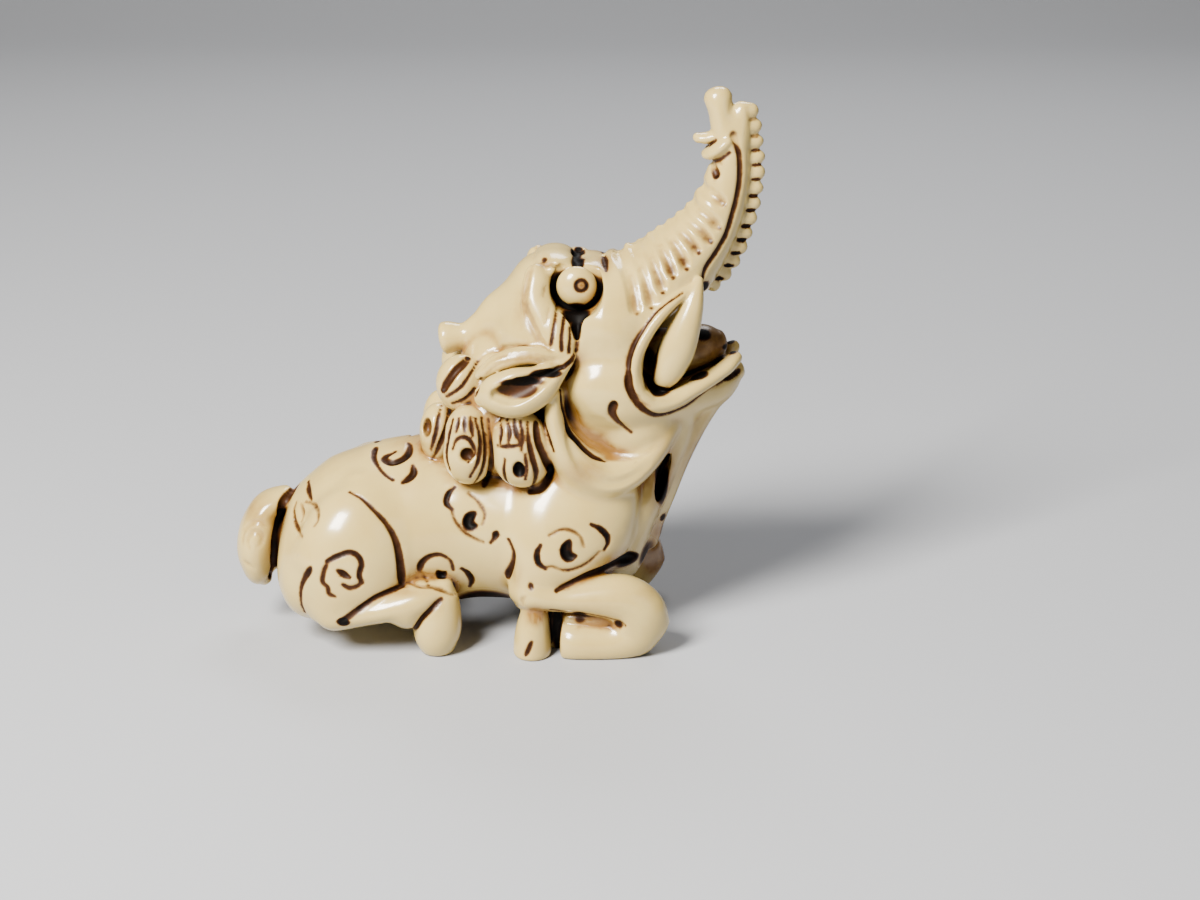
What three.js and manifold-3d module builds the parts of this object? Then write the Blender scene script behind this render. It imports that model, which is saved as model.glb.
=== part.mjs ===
// A baku netsuke: the dream-eating beast lies with its legs folded, throws its head back and
// raises its trunk. It is carved from one block of ivory-like material, so it is one solid.
//
// Millimetres. +X is the way the animal faces, +Y is its left side, +Z is up, and its legs
// rest on z = 0. The beast is the same on both sides of the plane y = 0.
//
// Every rounded form is a limb: a capped cylinder bent along a smooth curve through a few
// stations. A station is [x, y, z, across, deep]. across is the half-width towards the side,
// deep is the half-thickness square to it. The forms are joined, and the carving is cut out.

import * as THREE from 'three';
import { SimplifyModifier } from 'three/addons/modifiers/SimplifyModifier.js';
import { mergeVertices } from 'three/addons/utils/BufferGeometryUtils.js';
import Module from 'manifold-3d';

const wasm = await Module();
wasm.setup();

// ---- Driving dimensions --------------------------------------------------------------------

const FACES = 9900;              // triangles left once the joins and cuts are made
const PINCH = 0.03;              // half the gap left where two stretches of skin would touch
const LEG_OUT = 7.5;             // the middle of each leg, out from the plane y = 0
const SOLE = 0.65;               // where the hooves and shins are cut flat, before z = 0 is set
const GROUND = { length: 60, width: 40, depth: 3 };   // the block that cuts them
const MOUTH_WIDTH = 20;          // the mouth is cut right through the head

const RIBS = { count: 13, first: 0.04, last: 0.77, radius: 0.42, ends: 0.2, reach: 2.5, slant: 0.012 };
const BEADS = { count: 13, first: 0.2, last: 0.965, radius: 0.62, sunk: 0.25 };
const EYE = { x: 7.0, y: 5.5, z: 31.2, radius: 1.8, thick: 0.9, socket: 2.45, sunk: 1.2, pupil: 0.55 };
const CHEEK = { x: 11.2, z: 23.1, radius: 5.55 };
const FRILL = { from: 168, to: 326, stations: 9, narrow: 0.4, wide: 1.5, thick: 2.2 };
const SCROLL = { comma: 0.3, inner: 0.95, outer: 1.8, stroke: 0.4 };
const STROKE = { spacing: 0.6, taper: 0.55, reach: 30 };
const CORD_HOLE = { x: -0.5, apart: 5.4, radius: 1.1, rise: 4.2, z: 3.0 };

const IVORY = new THREE.MeshStandardMaterial({
  name: 'stained ivory', color: 0xded0ab, roughness: 0.32, metalness: 0,
});

// ---- Building blocks -----------------------------------------------------------------------

/** Turns a closed geometry into a solid that can be joined and cut. */
function toSolid(geometry) {
  geometry.deleteAttribute('normal');
  geometry.deleteAttribute('uv');
  const merged = mergeVertices(geometry, 1e-5);
  return new wasm.Manifold(new wasm.Mesh({
    numProp: 3,
    vertProperties: new Float32Array(merged.attributes.position.array),
    triVerts: new Uint32Array(merged.index.array),
  }));
}

/** The smooth curves through the middles and through the half-sizes of some stations. */
function curvesOf(stations) {
  const through = (points) => new THREE.CatmullRomCurve3(points, false, 'catmullrom', 0.5);
  return {
    path: through(stations.map(([x, y, z]) => new THREE.Vector3(x, y, z))),
    radii: through(stations.map(([, , , across, deep]) => new THREE.Vector3(across, deep, 0))),
  };
}

/** A capped cylinder bent through the stations, for limbs, locks and the cutters of grooves. */
function limb(stations, { sides = 14, steps = 2, side = [0, 1, 0] } = {}) {
  const { path, radii } = curvesOf(stations);
  const rings = (stations.length - 1) * steps;
  const geometry = new THREE.CylinderGeometry(1, 1, 1, sides, rings);
  const position = geometry.attributes.position;
  const sideways = new THREE.Vector3(...side);
  for (let i = 0; i < position.count; i += 1) {
    const along = THREE.MathUtils.clamp(position.getY(i) + 0.5, 0, 1);
    const centre = path.getPoint(along);
    const size = radii.getPoint(along);
    const tangent = path.getTangent(along);
    const across = sideways.clone().addScaledVector(tangent, -sideways.dot(tangent)).normalize();
    const deep = across.clone().cross(tangent);
    centre.addScaledVector(across, position.getX(i) * Math.max(size.x, 0.05));
    centre.addScaledVector(deep, position.getZ(i) * Math.max(size.y, 0.05));
    position.setXYZ(i, centre.x, centre.y, centre.z);
  }
  return toSolid(geometry);
}

/** An ellipsoid, leaning by an angle in the plane of symmetry. */
function ellipsoid([x, y, z], [rx, ry, rz], { lean = 0, sides = 14, rows = 9 } = {}) {
  const geometry = new THREE.SphereGeometry(1, sides, rows);
  geometry.rotateX(Math.PI / 2);
  geometry.scale(rx, ry, rz);
  geometry.rotateY(-lean);
  geometry.translate(x, y, z);
  return toSolid(geometry);
}

/** The stations of a form on the near side, carried over to the far side. */
const mirrored = (stations) => stations.map(([x, y, ...rest]) => [x, -y, ...rest]);

/** The same form on the near and the far side. */
const pair = (stations, options) => [limb(stations, options), limb(mirrored(stations), options)];

/** An ellipsoid on the near side and its twin on the far side. */
function ellipsoidPair([x, y, z], radii, options) {
  return [ellipsoid([x, y, z], radii, options), ellipsoid([x, -y, z], radii, options)];
}

const join = (solids) => solids.reduce((whole, next) => whole.add(next));
const cut = (whole, solids) => solids.reduce((left, next) => left.subtract(next), whole);

/** A solid as a mesh geometry. */
function toGeometry(solid) {
  const mesh = solid.getMesh();
  const geometry = new THREE.BufferGeometry();
  geometry.setAttribute('position', new THREE.BufferAttribute(new Float32Array(mesh.vertProperties), 3));
  geometry.setIndex(new THREE.BufferAttribute(new Uint32Array(mesh.triVerts), 1));
  return geometry;
}

/** Thins a solid's mesh to about so many faces, and parts the edges where it would pinch shut. */
async function thinned(solid, faces) {
  const full = toGeometry(solid);
  const surplus = full.attributes.position.count - faces / 2;
  const geometry = toGeometry(toSolid(await new SimplifyModifier().modify(full, surplus)));
  geometry.computeVertexNormals();
  const { position, normal } = geometry.attributes;
  const places = Array.from({ length: position.count }, (_, i) => (
    [position.getX(i), position.getY(i), position.getZ(i)].join()));
  const uses = new Map();
  places.forEach((place) => uses.set(place, (uses.get(place) ?? 0) + 1));
  const point = new THREE.Vector3();
  const outward = new THREE.Vector3();
  places.forEach((place, i) => {
    if (uses.get(place) === 1) return;
    point.fromBufferAttribute(position, i);
    outward.fromBufferAttribute(normal, i);
    position.setXYZ(i, ...point.addScaledVector(outward, -PINCH));
  });
  geometry.deleteAttribute('normal');
  return geometry;
}

/** Finds where a line from a point outside towards one inside meets the skin of a solid. */
function skinOf(solid) {
  const target = new THREE.Mesh(toGeometry(solid), new THREE.MeshBasicMaterial({ side: THREE.DoubleSide }));
  const caster = new THREE.Raycaster();
  return (outside, inside) => {
    caster.set(outside, inside.clone().sub(outside).normalize());
    const [hit] = caster.intersectObject(target);
    return hit ? hit.point : inside;
  };
}

/** An incised stroke that follows the skin: thickest in the middle, thin at both ends. */
function stroke(points, radius, skin, side) {
  const line = new THREE.CatmullRomCurve3(points.map(([x, z]) => new THREE.Vector3(x, 0, z)));
  const count = Math.max(5, Math.ceil(line.getLength() / STROKE.spacing));
  const stations = line.getSpacedPoints(count).map((inside, i) => {
    const outside = inside.clone().setY(side * STROKE.reach);
    const swell = radius * (1 - STROKE.taper * Math.abs(2 * i / count - 1) ** 2);
    return [...skin(outside, inside), swell, swell];
  });
  return limb(stations, { sides: 4, steps: 1 });
}

/** Points on a circular arc in the plane of symmetry. Angles in degrees from +X towards +Z. */
function arc(x, z, radius, from, to, count) {
  return Array.from({ length: count }, (_, i) => {
    const angle = THREE.MathUtils.degToRad(from + (to - from) * i / (count - 1));
    return [x + radius * Math.cos(angle), z + radius * Math.sin(angle)];
  });
}

// ---- Body and legs -------------------------------------------------------------------------

const torso = limb([
  [-18.4, 0, 9.4, 1.0, 1.2],
  [-17.3, 0, 9.3, 4.2, 3.5],
  [-14.2, 0, 9.2, 7.0, 6.0],
  [-10.6, 0, 9.3, 8.0, 7.1],
  [-6.0, 0, 9.9, 7.4, 7.2],
  [-1.5, 0, 10.2, 7.0, 6.9],
  [4.0, 0, 10.2, 7.6, 7.0],
  [9.0, 0, 9.8, 7.0, 6.2],
  [12.4, 0, 9.2, 4.2, 4.4],
  [13.6, 0, 9.0, 1.4, 1.8],
]);

const haunches = pair([
  [-13.6, -6.8, 2.4, 0.9, 0.9],
  [-13.3, -7.0, 4.2, 2.2, 2.7],
  [-12.1, -6.8, 7.4, 2.9, 4.6],
  [-11.3, -6.2, 10.8, 2.9, 4.5],
  [-10.9, -5.0, 13.4, 2.2, 3.0],
  [-10.9, -4.2, 14.8, 0.8, 1.0],
]);

const buttocks = ellipsoidPair([-15.5, -3.6, 6.8], [2.9, 4.2, 4.2]);

const hindShanks = pair([
  [-14.8, -6.9, 4.0, 0.8, 0.8],
  [-13.4, -7.0, 4.1, 2.0, 1.5],
  [-10.6, -7.2, 4.4, 2.3, 1.3],
  [-8.0, -7.2, 5.1, 2.4, 1.35],
  [-5.6, -7.1, 5.8, 2.3, 1.4],
  [-4.1, -7.0, 6.1, 1.3, 0.9],
]);

const hindHooves = pair([
  [-4.1, -6.9, 6.9, 0.9, 0.8],
  [-4.3, -7.0, 5.7, 1.9, 1.6],
  [-4.7, -7.1, 3.9, 2.2, 2.05],
  [-4.95, -7.1, 2.1, 2.1, 2.0],
  [-4.95, -7.0, 0.7, 1.6, 1.5],
  [-4.95, -7.0, -0.2, 1.1, 1.1],
]);

const shoulders = pair([
  [2.7, -6.9, 5.0, 0.9, 0.9],
  [3.5, -7.0, 6.8, 2.0, 2.2],
  [5.2, -6.5, 9.4, 2.7, 4.0],
  [6.9, -5.5, 12.2, 2.8, 4.9],
  [8.0, -4.4, 15.2, 2.6, 4.4],
  [8.4, -3.6, 17.6, 1.6, 2.2],
]);

const forearms = pair([
  [2.0, -7.2, 6.1, 0.8, 0.9],
  [3.4, -LEG_OUT, 6.1, 1.8, 1.6],
  [6.2, -7.6, 5.75, 1.9, 1.35],
  [9.2, -7.7, 5.6, 2.0, 1.6],
  [11.6, -7.7, 5.1, 2.0, 2.1],
  [13.3, -7.6, 4.0, 1.7, 1.8],
  [14.3, -LEG_OUT, 3.3, 0.8, 0.9],
]);

const knees = ellipsoidPair([12.5, -LEG_OUT, 3.7], [2.3, 2.0, 2.6], { lean: 0.5 });

const cannons = pair([
  [5.6, -LEG_OUT, 1.7, 1.5, 1.6],
  [7.0, -LEG_OUT, 1.7, 1.9, 1.9],
  [10.0, -LEG_OUT, 1.75, 1.9, 1.85],
  [12.6, -LEG_OUT, 2.5, 1.7, 1.9],
  [13.8, -LEG_OUT, 3.2, 0.9, 1.0],
]);

const fillets = pair([
  [6.4, -7.1, 3.8, 0.9, 0.7],
  [9.0, -7.1, 3.8, 1.3, 0.9],
  [11.4, -7.1, 3.9, 1.3, 0.9],
]);

const foreHooves = pair([
  [3.9, -7.3, 5.6, 1.0, 1.0],
  [3.8, -7.4, 4.5, 1.5, 1.35],
  [3.6, -LEG_OUT, 2.6, 1.8, 1.65],
  [3.5, -7.6, 1.0, 1.9, 1.75],
  [3.5, -7.6, -0.8, 1.8, 1.7],
]);

const tail = limb([
  [-16.8, 0, 12.0, 0.9, 0.8],
  [-18.4, 0, 11.3, 1.5, 1.2],
  [-19.8, 0, 10.0, 2.4, 1.6],
  [-20.6, 0, 7.8, 2.9, 1.8],
  [-20.4, 0, 5.6, 2.6, 1.6],
  [-19.7, 0, 4.2, 1.7, 1.2],
  [-18.9, 0, 3.4, 0.7, 0.5],
]);

// ---- Neck, mane and head -------------------------------------------------------------------

const neck = limb([
  [5.6, 0, 10.0, 6.0, 6.0],
  [6.6, 0, 14.5, 6.3, 7.1],
  [7.4, 0, 18.0, 6.0, 6.6],
  [8.0, 0, 22.5, 5.5, 5.5],
]);

const throat = limb([
  [15.6, 0, 22.0, 3.8, 2.0],
  [15.2, 0, 19.0, 3.6, 2.2],
  [14.2, 0, 15.6, 3.8, 1.9],
  [12.8, 0, 12.0, 4.4, 1.8],
  [11.8, 0, 9.0, 3.0, 1.4],
]);

const mane = limb([
  [1.6, 0, 26.4, 3.4, 2.4],
  [0.8, 0, 24.4, 5.2, 3.6],
  [0.7, 0, 21.5, 6.6, 4.5],
  [0.7, 0, 18.6, 7.0, 4.6],
  [1.0, 0, 16.6, 6.4, 3.8],
  [1.2, 0, 15.4, 4.4, 2.2],
]);

/** A hanging lock of hair: thin where it starts, full at its curl. */
function lock([x, y, z], [tipX, tipY, tipZ], width) {
  const at = (t) => [x + (tipX - x) * t, y + (tipY - y) * t, z + (tipZ - z) * t];
  return [
    [...at(0), 0.5 * width, 0.5 * width],
    [...at(0.35), 0.75 * width, 0.75 * width],
    [...at(0.7), width, width],
    [...at(0.92), 0.75 * width, 0.8 * width],
    [...at(1), 0.3 * width, 0.3 * width],
  ];
}

const LOCKS = [
  { root: [2.8, -6.3, 22.0], tip: [2.5, -7.0, 14.6], width: 2.0 },
  { root: [-1.2, -5.2, 22.2], tip: [-1.9, -6.0, 14.8], width: 1.95 },
  { root: [-3.4, -1.7, 21.2], tip: [-5.3, -1.9, 15.2], width: 1.6 },
  { root: [-1.6, -1.6, 25.6], tip: [-3.4, -2.0, 20.0], width: 1.95 },
];
const locks = LOCKS.flatMap(({ root, tip, width }) => pair(lock(root, tip, width)));
const curls = LOCKS.flatMap(({ root, tip, width }) => {
  const at = (i) => root[i] + (tip[i] - root[i]) * 0.68;
  const out = Math.hypot(at(0) - 1.5, at(1));
  const centre = [at(0) + (at(0) - 1.5) / out * width, at(1) + at(1) / out * width, at(2)];
  return ellipsoidPair(centre, [0.62 * width, 0.62 * width, 0.55 * width]);
});

const skull = ellipsoid([6.5, 0, 27.3], [5.6, 6.2, 5.6]);
const poll = ellipsoid([4.2, 0, 27.2], [4.2, 6.2, 4.7]);
const orbits = ellipsoidPair([7.3, -3.3, 30.6], [3.1, 3.0, 3.2]);
const browKnobs = ellipsoidPair([5.8, -2.9, 32.4], [1.8, 1.6, 1.2], { lean: -0.1 });
const browTips = ellipsoidPair([8.9, -2.9, 32.3], [0.95, 1.5, 0.95]);

const brows = pair([
  [5.0, -3.8, 32.8, 0.9, 0.8],
  [4.6, -4.8, 31.4, 1.1, 1.3],
  [5.0, -5.7, 29.2, 1.2, 1.8],
  [5.8, -6.3, 27.0, 1.1, 1.5],
  [6.5, -6.7, 25.0, 0.4, 0.4],
]);

const horn = limb([
  [-4.35, 0, 26.3, 1.2, 1.15],
  [-2.9, 0, 26.65, 1.15, 1.05],
  [-1.2, 0, 27.0, 1.6, 1.5],
  [0.6, 0, 27.7, 2.4, 2.4],
  [2.6, 0, 28.2, 3.4, 3.2],
]);

const ears = pair([
  [6.9, -6.4, 25.3, 0.9, 0.7],
  [5.0, -7.2, 24.4, 1.4, 1.8],
  [2.7, -7.6, 23.6, 1.7, 2.2],
  [0.7, -7.4, 23.2, 1.6, 1.8],
  [-0.8, -6.9, 23.5, 0.8, 0.8],
]);
const earHollows = ellipsoidPair([2.7, -9.2, 23.7], [2.7, 1.5, 1.1], { lean: 0.3 });

const cheeks = limb([
  [7.0, 0, 23.6, 6.6, 3.0],
  [8.6, 0, 23.5, 7.4, 4.7],
  [11.2, 0, 23.2, 7.6, 5.5],
  [13.8, 0, 22.9, 6.9, 4.6],
  [16.0, 0, 22.6, 5.4, 3.1],
  [18.4, 0, 22.7, 3.6, 2.4],
  [20.2, 0, 23.5, 2.3, 1.7],
  [21.0, 0, 23.9, 0.9, 0.8],
]);

const frills = [-1, 1].map((side) => {
  const stations = arc(CHEEK.x, CHEEK.z, 1, FRILL.from, FRILL.to, FRILL.stations).map(([cx, cz], i) => {
    const share = i / (FRILL.stations - 1);
    const deep = FRILL.narrow + (FRILL.wide - FRILL.narrow) * Math.sin(Math.PI * share) ** 1.2;
    const out = CHEEK.radius + 0.1 + deep;
    const y = side * (6.3 - 2.4 * share ** 2.5);
    return [CHEEK.x + (cx - CHEEK.x) * out, y, CHEEK.z + (cz - CHEEK.z) * out, FRILL.thick, deep];
  });
  return limb(stations);
});

const face = limb([
  [7.6, 0, 26.4, 5.6, 4.6],
  [10.2, 0, 28.2, 6.9, 5.3],
  [12.8, 0, 30.2, 5.6, 4.5],
  [15.5, 0, 32.7, 4.0, 3.45],
]);

const beard = limb([
  [19.4, 0, 22.4, 2.0, 1.0],
  [17.9, 0, 18.8, 2.2, 1.1],
  [16.3, 0, 15.4, 2.1, 1.0],
  [14.9, 0, 12.3, 1.8, 0.9],
  [13.6, 0, 9.4, 1.4, 0.8],
  [13.0, 0, 8.2, 0.6, 0.5],
]);

// ---- Trunk ---------------------------------------------------------------------------------

const TRUNK = [
  [12.8, 0, 30.0, 5.3, 4.1],
  [14.2, 0, 31.4, 4.6, 3.75],
  [15.4, 0, 32.7, 4.0, 3.4],
  [16.9, 0, 34.4, 3.3, 3.1],
  [18.2, 0, 36.2, 2.7, 2.6],
  [19.2, 0, 38.3, 2.25, 2.15],
  [19.75, 0, 40.4, 1.9, 1.8],
  [20.0, 0, 42.2, 1.7, 1.6],
  [20.0, 0, 44.0, 1.55, 1.4],
  [20.0, 0, 45.3, 1.4, 1.15],
  [20.1, 0, 46.3, 1.1, 0.8],
];
const trunk = limb(TRUNK);

/** A place on the trunk's skin. turn is 0 on the belly side, 180 on the back, near side first. */
function onTrunk(along, turn, lift = 0) {
  const { path, radii } = curvesOf(TRUNK);
  const size = radii.getPoint(along);
  const tangent = path.getTangent(along);
  const belly = new THREE.Vector3(tangent.z, 0, -tangent.x);
  const angle = THREE.MathUtils.degToRad(turn);
  return path.getPoint(along)
    .addScaledVector(belly, Math.cos(angle) * (size.y + lift))
    .add(new THREE.Vector3(0, -Math.sin(angle) * (size.x + lift), 0));
}

const trunkTip = [
  limb([
    [19.9, 0, 44.2, 1.45, 1.2],
    [19.5, 0, 45.5, 1.4, 1.1],
    [18.9, 0, 46.4, 1.4, 0.95],
    [18.2, 0, 46.6, 1.15, 0.65],
    [17.7, 0, 46.6, 0.6, 0.35],
  ]),
  limb([
    [19.6, 0, 43.4, 1.3, 0.8],
    [18.4, 0, 43.05, 1.25, 0.6],
    [17.4, 0, 43.0, 1.0, 0.45],
    [16.9, 0, 43.05, 0.5, 0.25],
  ]),
  ellipsoid([18.6, 0, 42.3], [1.0, 1.45, 0.6], { lean: 0.5 }),
];

const beads = Array.from({ length: BEADS.count }, (_, i) => {
  const centre = onTrunk(BEADS.first + (BEADS.last - BEADS.first) * i / (BEADS.count - 1), 0, -BEADS.sunk);
  return ellipsoid([centre.x, 0, centre.z], [BEADS.radius, 1.0, BEADS.radius]);
});

const trunkGrooves = [1, -1].map((hand) => {
  const stations = Array.from({ length: 9 }, (_, i) => {
    const place = onTrunk(0.2 + 0.6 * i / 8, 52, 0.12);
    const radius = i === 0 || i === 8 ? 0.2 : 0.42;
    return [place.x, hand * place.y, place.z, radius, radius];
  });
  return limb(stations, { sides: 6 });
});

// ---- Mouth ---------------------------------------------------------------------------------

const throatCut = new THREE.Shape();
throatCut.moveTo(14.6, 30.9);
throatCut.bezierCurveTo(12.6, 29.0, 12.0, 25.8, 13.3, 23.6);
throatCut.bezierCurveTo(13.9, 22.9, 14.8, 22.9, 15.6, 23.3);
throatCut.lineTo(21.5, 25.9);
throatCut.lineTo(24.0, 28.0);
throatCut.lineTo(19.6, 30.6);
throatCut.lineTo(18.0, 29.7);
throatCut.bezierCurveTo(16.9, 29.6, 16.0, 31.2, 14.6, 30.9);
const mouth = new THREE.ExtrudeGeometry(throatCut, {
  depth: MOUTH_WIDTH, bevelEnabled: false, curveSegments: 6,
});
mouth.rotateX(Math.PI / 2);
mouth.translate(0, MOUTH_WIDTH / 2, 0);

const palate = limb([
  [12.0, 0, 26.5, 3.3, 2.6],
  [14.8, 0, 26.6, 3.0, 2.7],
  [17.0, 0, 26.0, 2.2, 1.4],
  [19.0, 0, 26.0, 2.0, 1.1],
  [20.3, 0, 25.2, 1.0, 0.6],
]);

const lips = pair([
  [17.2, -3.4, 31.4, 0.5, 0.35],
  [15.2, -4.9, 30.7, 0.9, 0.5],
  [13.3, -5.9, 28.9, 1.1, 0.6],
  [12.35, -6.5, 26.2, 1.2, 0.6],
  [12.9, -6.5, 23.6, 1.2, 0.6],
  [14.9, -5.9, 22.9, 1.1, 0.6],
  [17.6, -4.2, 23.9, 1.0, 0.6],
  [19.8, -2.4, 24.8, 0.9, 0.5],
]);

const tusks = pair([
  [14.4, -4.7, 24.0, 1.0, 1.0],
  [15.0, -4.9, 25.2, 1.35, 1.45],
  [16.0, -4.9, 27.6, 1.3, 1.35],
  [16.9, -4.6, 30.0, 1.1, 1.1],
  [17.5, -4.0, 32.0, 0.5, 0.45],
]);

// ---- Join the forms ------------------------------------------------------------------------

const headMass = cut(join([skull, poll, ...orbits, cheeks, face, neck, trunk]), [toSolid(mouth)]);
const beast = join([
  headMass, torso, ...haunches, ...buttocks, ...hindShanks, ...hindHooves,
  ...shoulders, ...forearms, ...knees, ...cannons, ...fillets, ...foreHooves, tail,
  throat, mane, ...locks, ...browKnobs, ...browTips, ...brows, horn, ...ears, ...frills, beard,
  palate, ...lips, ...tusks, ...trunkTip, ...beads,
]);

// ---- Carving -------------------------------------------------------------------------------

const skin = skinOf(beast);

/** A groove on the near side, given by points in the plane of symmetry, and its twin. */
const grooves = (points, radius) => [-1, 1].map((side) => stroke(points, radius, skin, side));

const LIP_LINE = [
  [16.2, 31.9], [13.3, 30.4], [11.6, 28.0], [11.3, 25.0],
  [12.6, 22.7], [14.6, 22.2], [17.3, 23.2], [19.6, 24.3],
];
const HAUNCH_LINE = [[-11.6, 15.0], [-9.6, 13.5], [-7.9, 11.3], [-7.25, 8.8], [-7.5, 6.6], [-8.2, 5.4]];
const FRILL_LINE = arc(CHEEK.x, CHEEK.z, CHEEK.radius, 176, 276, 7);
const creases = [
  ...grooves(HAUNCH_LINE, 0.8),
  ...grooves([[-8.1, 5.7], [-10.2, 4.8], [-12.6, 3.6]], 0.5),      // thigh over shank
  ...grooves([[-14.4, 9.2], [-15.2, 7.4], [-15.4, 5.0]], 0.5),     // thigh over rump
  ...grooves([[-6.6, 3.9], [-4.8, 5.2], [-3.2, 6.6]], 0.35),       // top of the hind hoof
  ...grooves([[1.5, 10.2], [1.2, 8.4], [1.9, 6.6]], 0.4),          // skin fold behind the elbow
  ...grooves([[5.0, 7.0], [8.4, 7.5], [12.0, 8.0]], 0.5),          // forearm under the chest
  ...grooves(FRILL_LINE, 0.5),
  ...grooves(LIP_LINE, 0.45),
  ...grooves([[9.9, 22.6], [10.2, 21.6], [11.2, 21.0]], 0.45),     // dimple in the cheek
  ...grooves([[20.3, 24.4], [19.2, 23.8]], 0.3),                   // corner of the lower lip
];

const RIB_TURNS = [88, 120, 180, 240, 272];
const ribs = Array.from({ length: RIBS.count }, (_, i) => {
  const along = RIBS.first + (RIBS.last - RIBS.first) * i / (RIBS.count - 1);
  const stations = RIB_TURNS.map((turn, t) => {
    const slanted = along + RIBS.slant * Math.cos(THREE.MathUtils.degToRad(turn * 2));
    const place = skin(onTrunk(slanted, turn, RIBS.reach), onTrunk(slanted, turn, -1));
    const radius = t === 0 || t === RIB_TURNS.length - 1 ? RIBS.ends : RIBS.radius;
    return [...place, radius, radius];
  });
  return limb(stations, { sides: 6, side: [0.7, 0, 0.7] });
});

const sockets = [-1, 1].flatMap((side) => [
  ellipsoid([EYE.x, side * (EYE.y + 0.35), EYE.z], [EYE.socket, EYE.sunk, EYE.socket]),
  ellipsoid([EYE.x, side * (EYE.y + 0.5), EYE.z - 2.4], [0.9, 0.9, 1.3]),
]);
const eyes = ellipsoidPair([EYE.x, EYE.y - 0.1, EYE.z], [EYE.radius, EYE.thick, EYE.radius]);
const pupils = ellipsoidPair([EYE.x, EYE.y + 0.9, EYE.z + 0.2], [EYE.pupil, 0.5, EYE.pupil]);

const pits = [
  ...ellipsoidPair([7.3, -9.0, 3.9], [0.8, 1.1, 0.7]),
  ...ellipsoidPair([11.0, -9.3, 3.6], [0.6, 0.8, 0.45]),
  ...ellipsoidPair([5.45, -9.0, 1.2], [0.22, 1.6, 2.6]),
  ...ellipsoidPair([15.2, -2.2, 13.6], [0.55, 1.5, 2.3], { lean: -0.4 }),
];

/** A cloud scroll: a comma in the middle and lobed arcs round it. */
function scroll([x, z], turn) {
  const ring = (radius, from, to, count) => arc(x, z, radius, turn + from, turn + to, count);
  return [
    ...grooves(ring(SCROLL.comma, 60, 300, 3), SCROLL.stroke * 1.3),
    ...grooves(ring(SCROLL.inner, -50, 130, 4), SCROLL.stroke),
    ...grooves(ring(SCROLL.outer, 150, 225, 3), SCROLL.stroke),
    ...grooves(ring(SCROLL.outer, 255, 350, 4), SCROLL.stroke),
  ];
}

const scrolls = [
  [[6.8, 10.2], 0], [[-3.8, 7.9], 40], [[-1.9, 13.2], 300],
  [[-12.1, 8.1], 90], [[-15.0, 13.0], 60], [[-7.6, 15.6], 20],
].flatMap(([place, turn]) => scroll(place, turn));

const cordHole = limb([
  [CORD_HOLE.x, -CORD_HOLE.apart / 2, CORD_HOLE.z - 1.5, CORD_HOLE.radius, CORD_HOLE.radius],
  [CORD_HOLE.x, -CORD_HOLE.apart / 2, CORD_HOLE.z + 1.2, CORD_HOLE.radius, CORD_HOLE.radius],
  [CORD_HOLE.x, 0, CORD_HOLE.z + CORD_HOLE.rise, CORD_HOLE.radius, CORD_HOLE.radius],
  [CORD_HOLE.x, CORD_HOLE.apart / 2, CORD_HOLE.z + 1.2, CORD_HOLE.radius, CORD_HOLE.radius],
  [CORD_HOLE.x, CORD_HOLE.apart / 2, CORD_HOLE.z - 1.5, CORD_HOLE.radius, CORD_HOLE.radius],
], { side: [1, 0, 0] });

const ground = new THREE.BoxGeometry(GROUND.length, GROUND.width, GROUND.depth);
ground.translate(0, 0, SOLE - GROUND.depth / 2);

const grooved = cut(beast, [
  ...creases, ...sockets, ...pits, ...scrolls, ...ribs, ...trunkGrooves,
  ...curls, ...earHollows, cordHole, toSolid(ground),
]);
const carved = cut(join([grooved, ...eyes]), pupils);

// ---- The part ------------------------------------------------------------------------------

const geometry = await thinned(carved, FACES);
geometry.computeBoundingBox();
const middle = geometry.boundingBox.getCenter(new THREE.Vector3());
geometry.translate(-middle.x, -middle.y, -geometry.boundingBox.min.z);

const baku = new THREE.Mesh(geometry, IVORY);
baku.name = 'baku';

const netsuke = new THREE.Group();
netsuke.add(baku);

export default netsuke;
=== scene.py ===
"""A baku netsuke: the folded beast that eats bad dreams, with its head back and its trunk up.

The beast is carved from one block, and the scene carves it in the same order as a netsuke maker
does: the masses first, then the hollows, then what is left standing in them, then the incised
lines. The block is a field of distances to the beast's skin. Last come the stain that lies in the
cuts, the shade that is painted into the hollows, the gaps and the parts that lie in shade, and
the polish on what stands proud of them.

Shapes are written in the beast's own millimetres: +X is the way it faces, +Z is up, and y = 0 is
its plane of symmetry. Only the near half is carved, and the far half is its mirror image.
"""

import logging
import math
from dataclasses import dataclass, field
from enum import Enum
from typing import Callable

import bpy
import numpy as np
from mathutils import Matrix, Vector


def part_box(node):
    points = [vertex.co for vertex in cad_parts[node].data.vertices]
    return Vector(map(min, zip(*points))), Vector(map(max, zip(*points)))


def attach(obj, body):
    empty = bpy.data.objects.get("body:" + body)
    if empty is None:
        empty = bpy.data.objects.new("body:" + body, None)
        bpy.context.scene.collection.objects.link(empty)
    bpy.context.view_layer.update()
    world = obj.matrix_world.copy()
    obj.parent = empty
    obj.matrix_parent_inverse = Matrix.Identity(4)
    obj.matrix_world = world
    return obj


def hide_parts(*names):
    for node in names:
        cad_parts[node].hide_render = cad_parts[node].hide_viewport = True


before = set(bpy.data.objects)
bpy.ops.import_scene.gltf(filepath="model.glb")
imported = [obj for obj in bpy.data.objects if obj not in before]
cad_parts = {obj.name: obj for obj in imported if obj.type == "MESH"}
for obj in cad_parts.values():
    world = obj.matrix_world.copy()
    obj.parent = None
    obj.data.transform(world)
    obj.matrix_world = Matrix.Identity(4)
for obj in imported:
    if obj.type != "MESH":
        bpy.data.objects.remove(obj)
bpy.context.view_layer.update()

import openvdb as vdb
from mathutils import Vector
from mathutils.bvhtree import BVHTree
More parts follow.
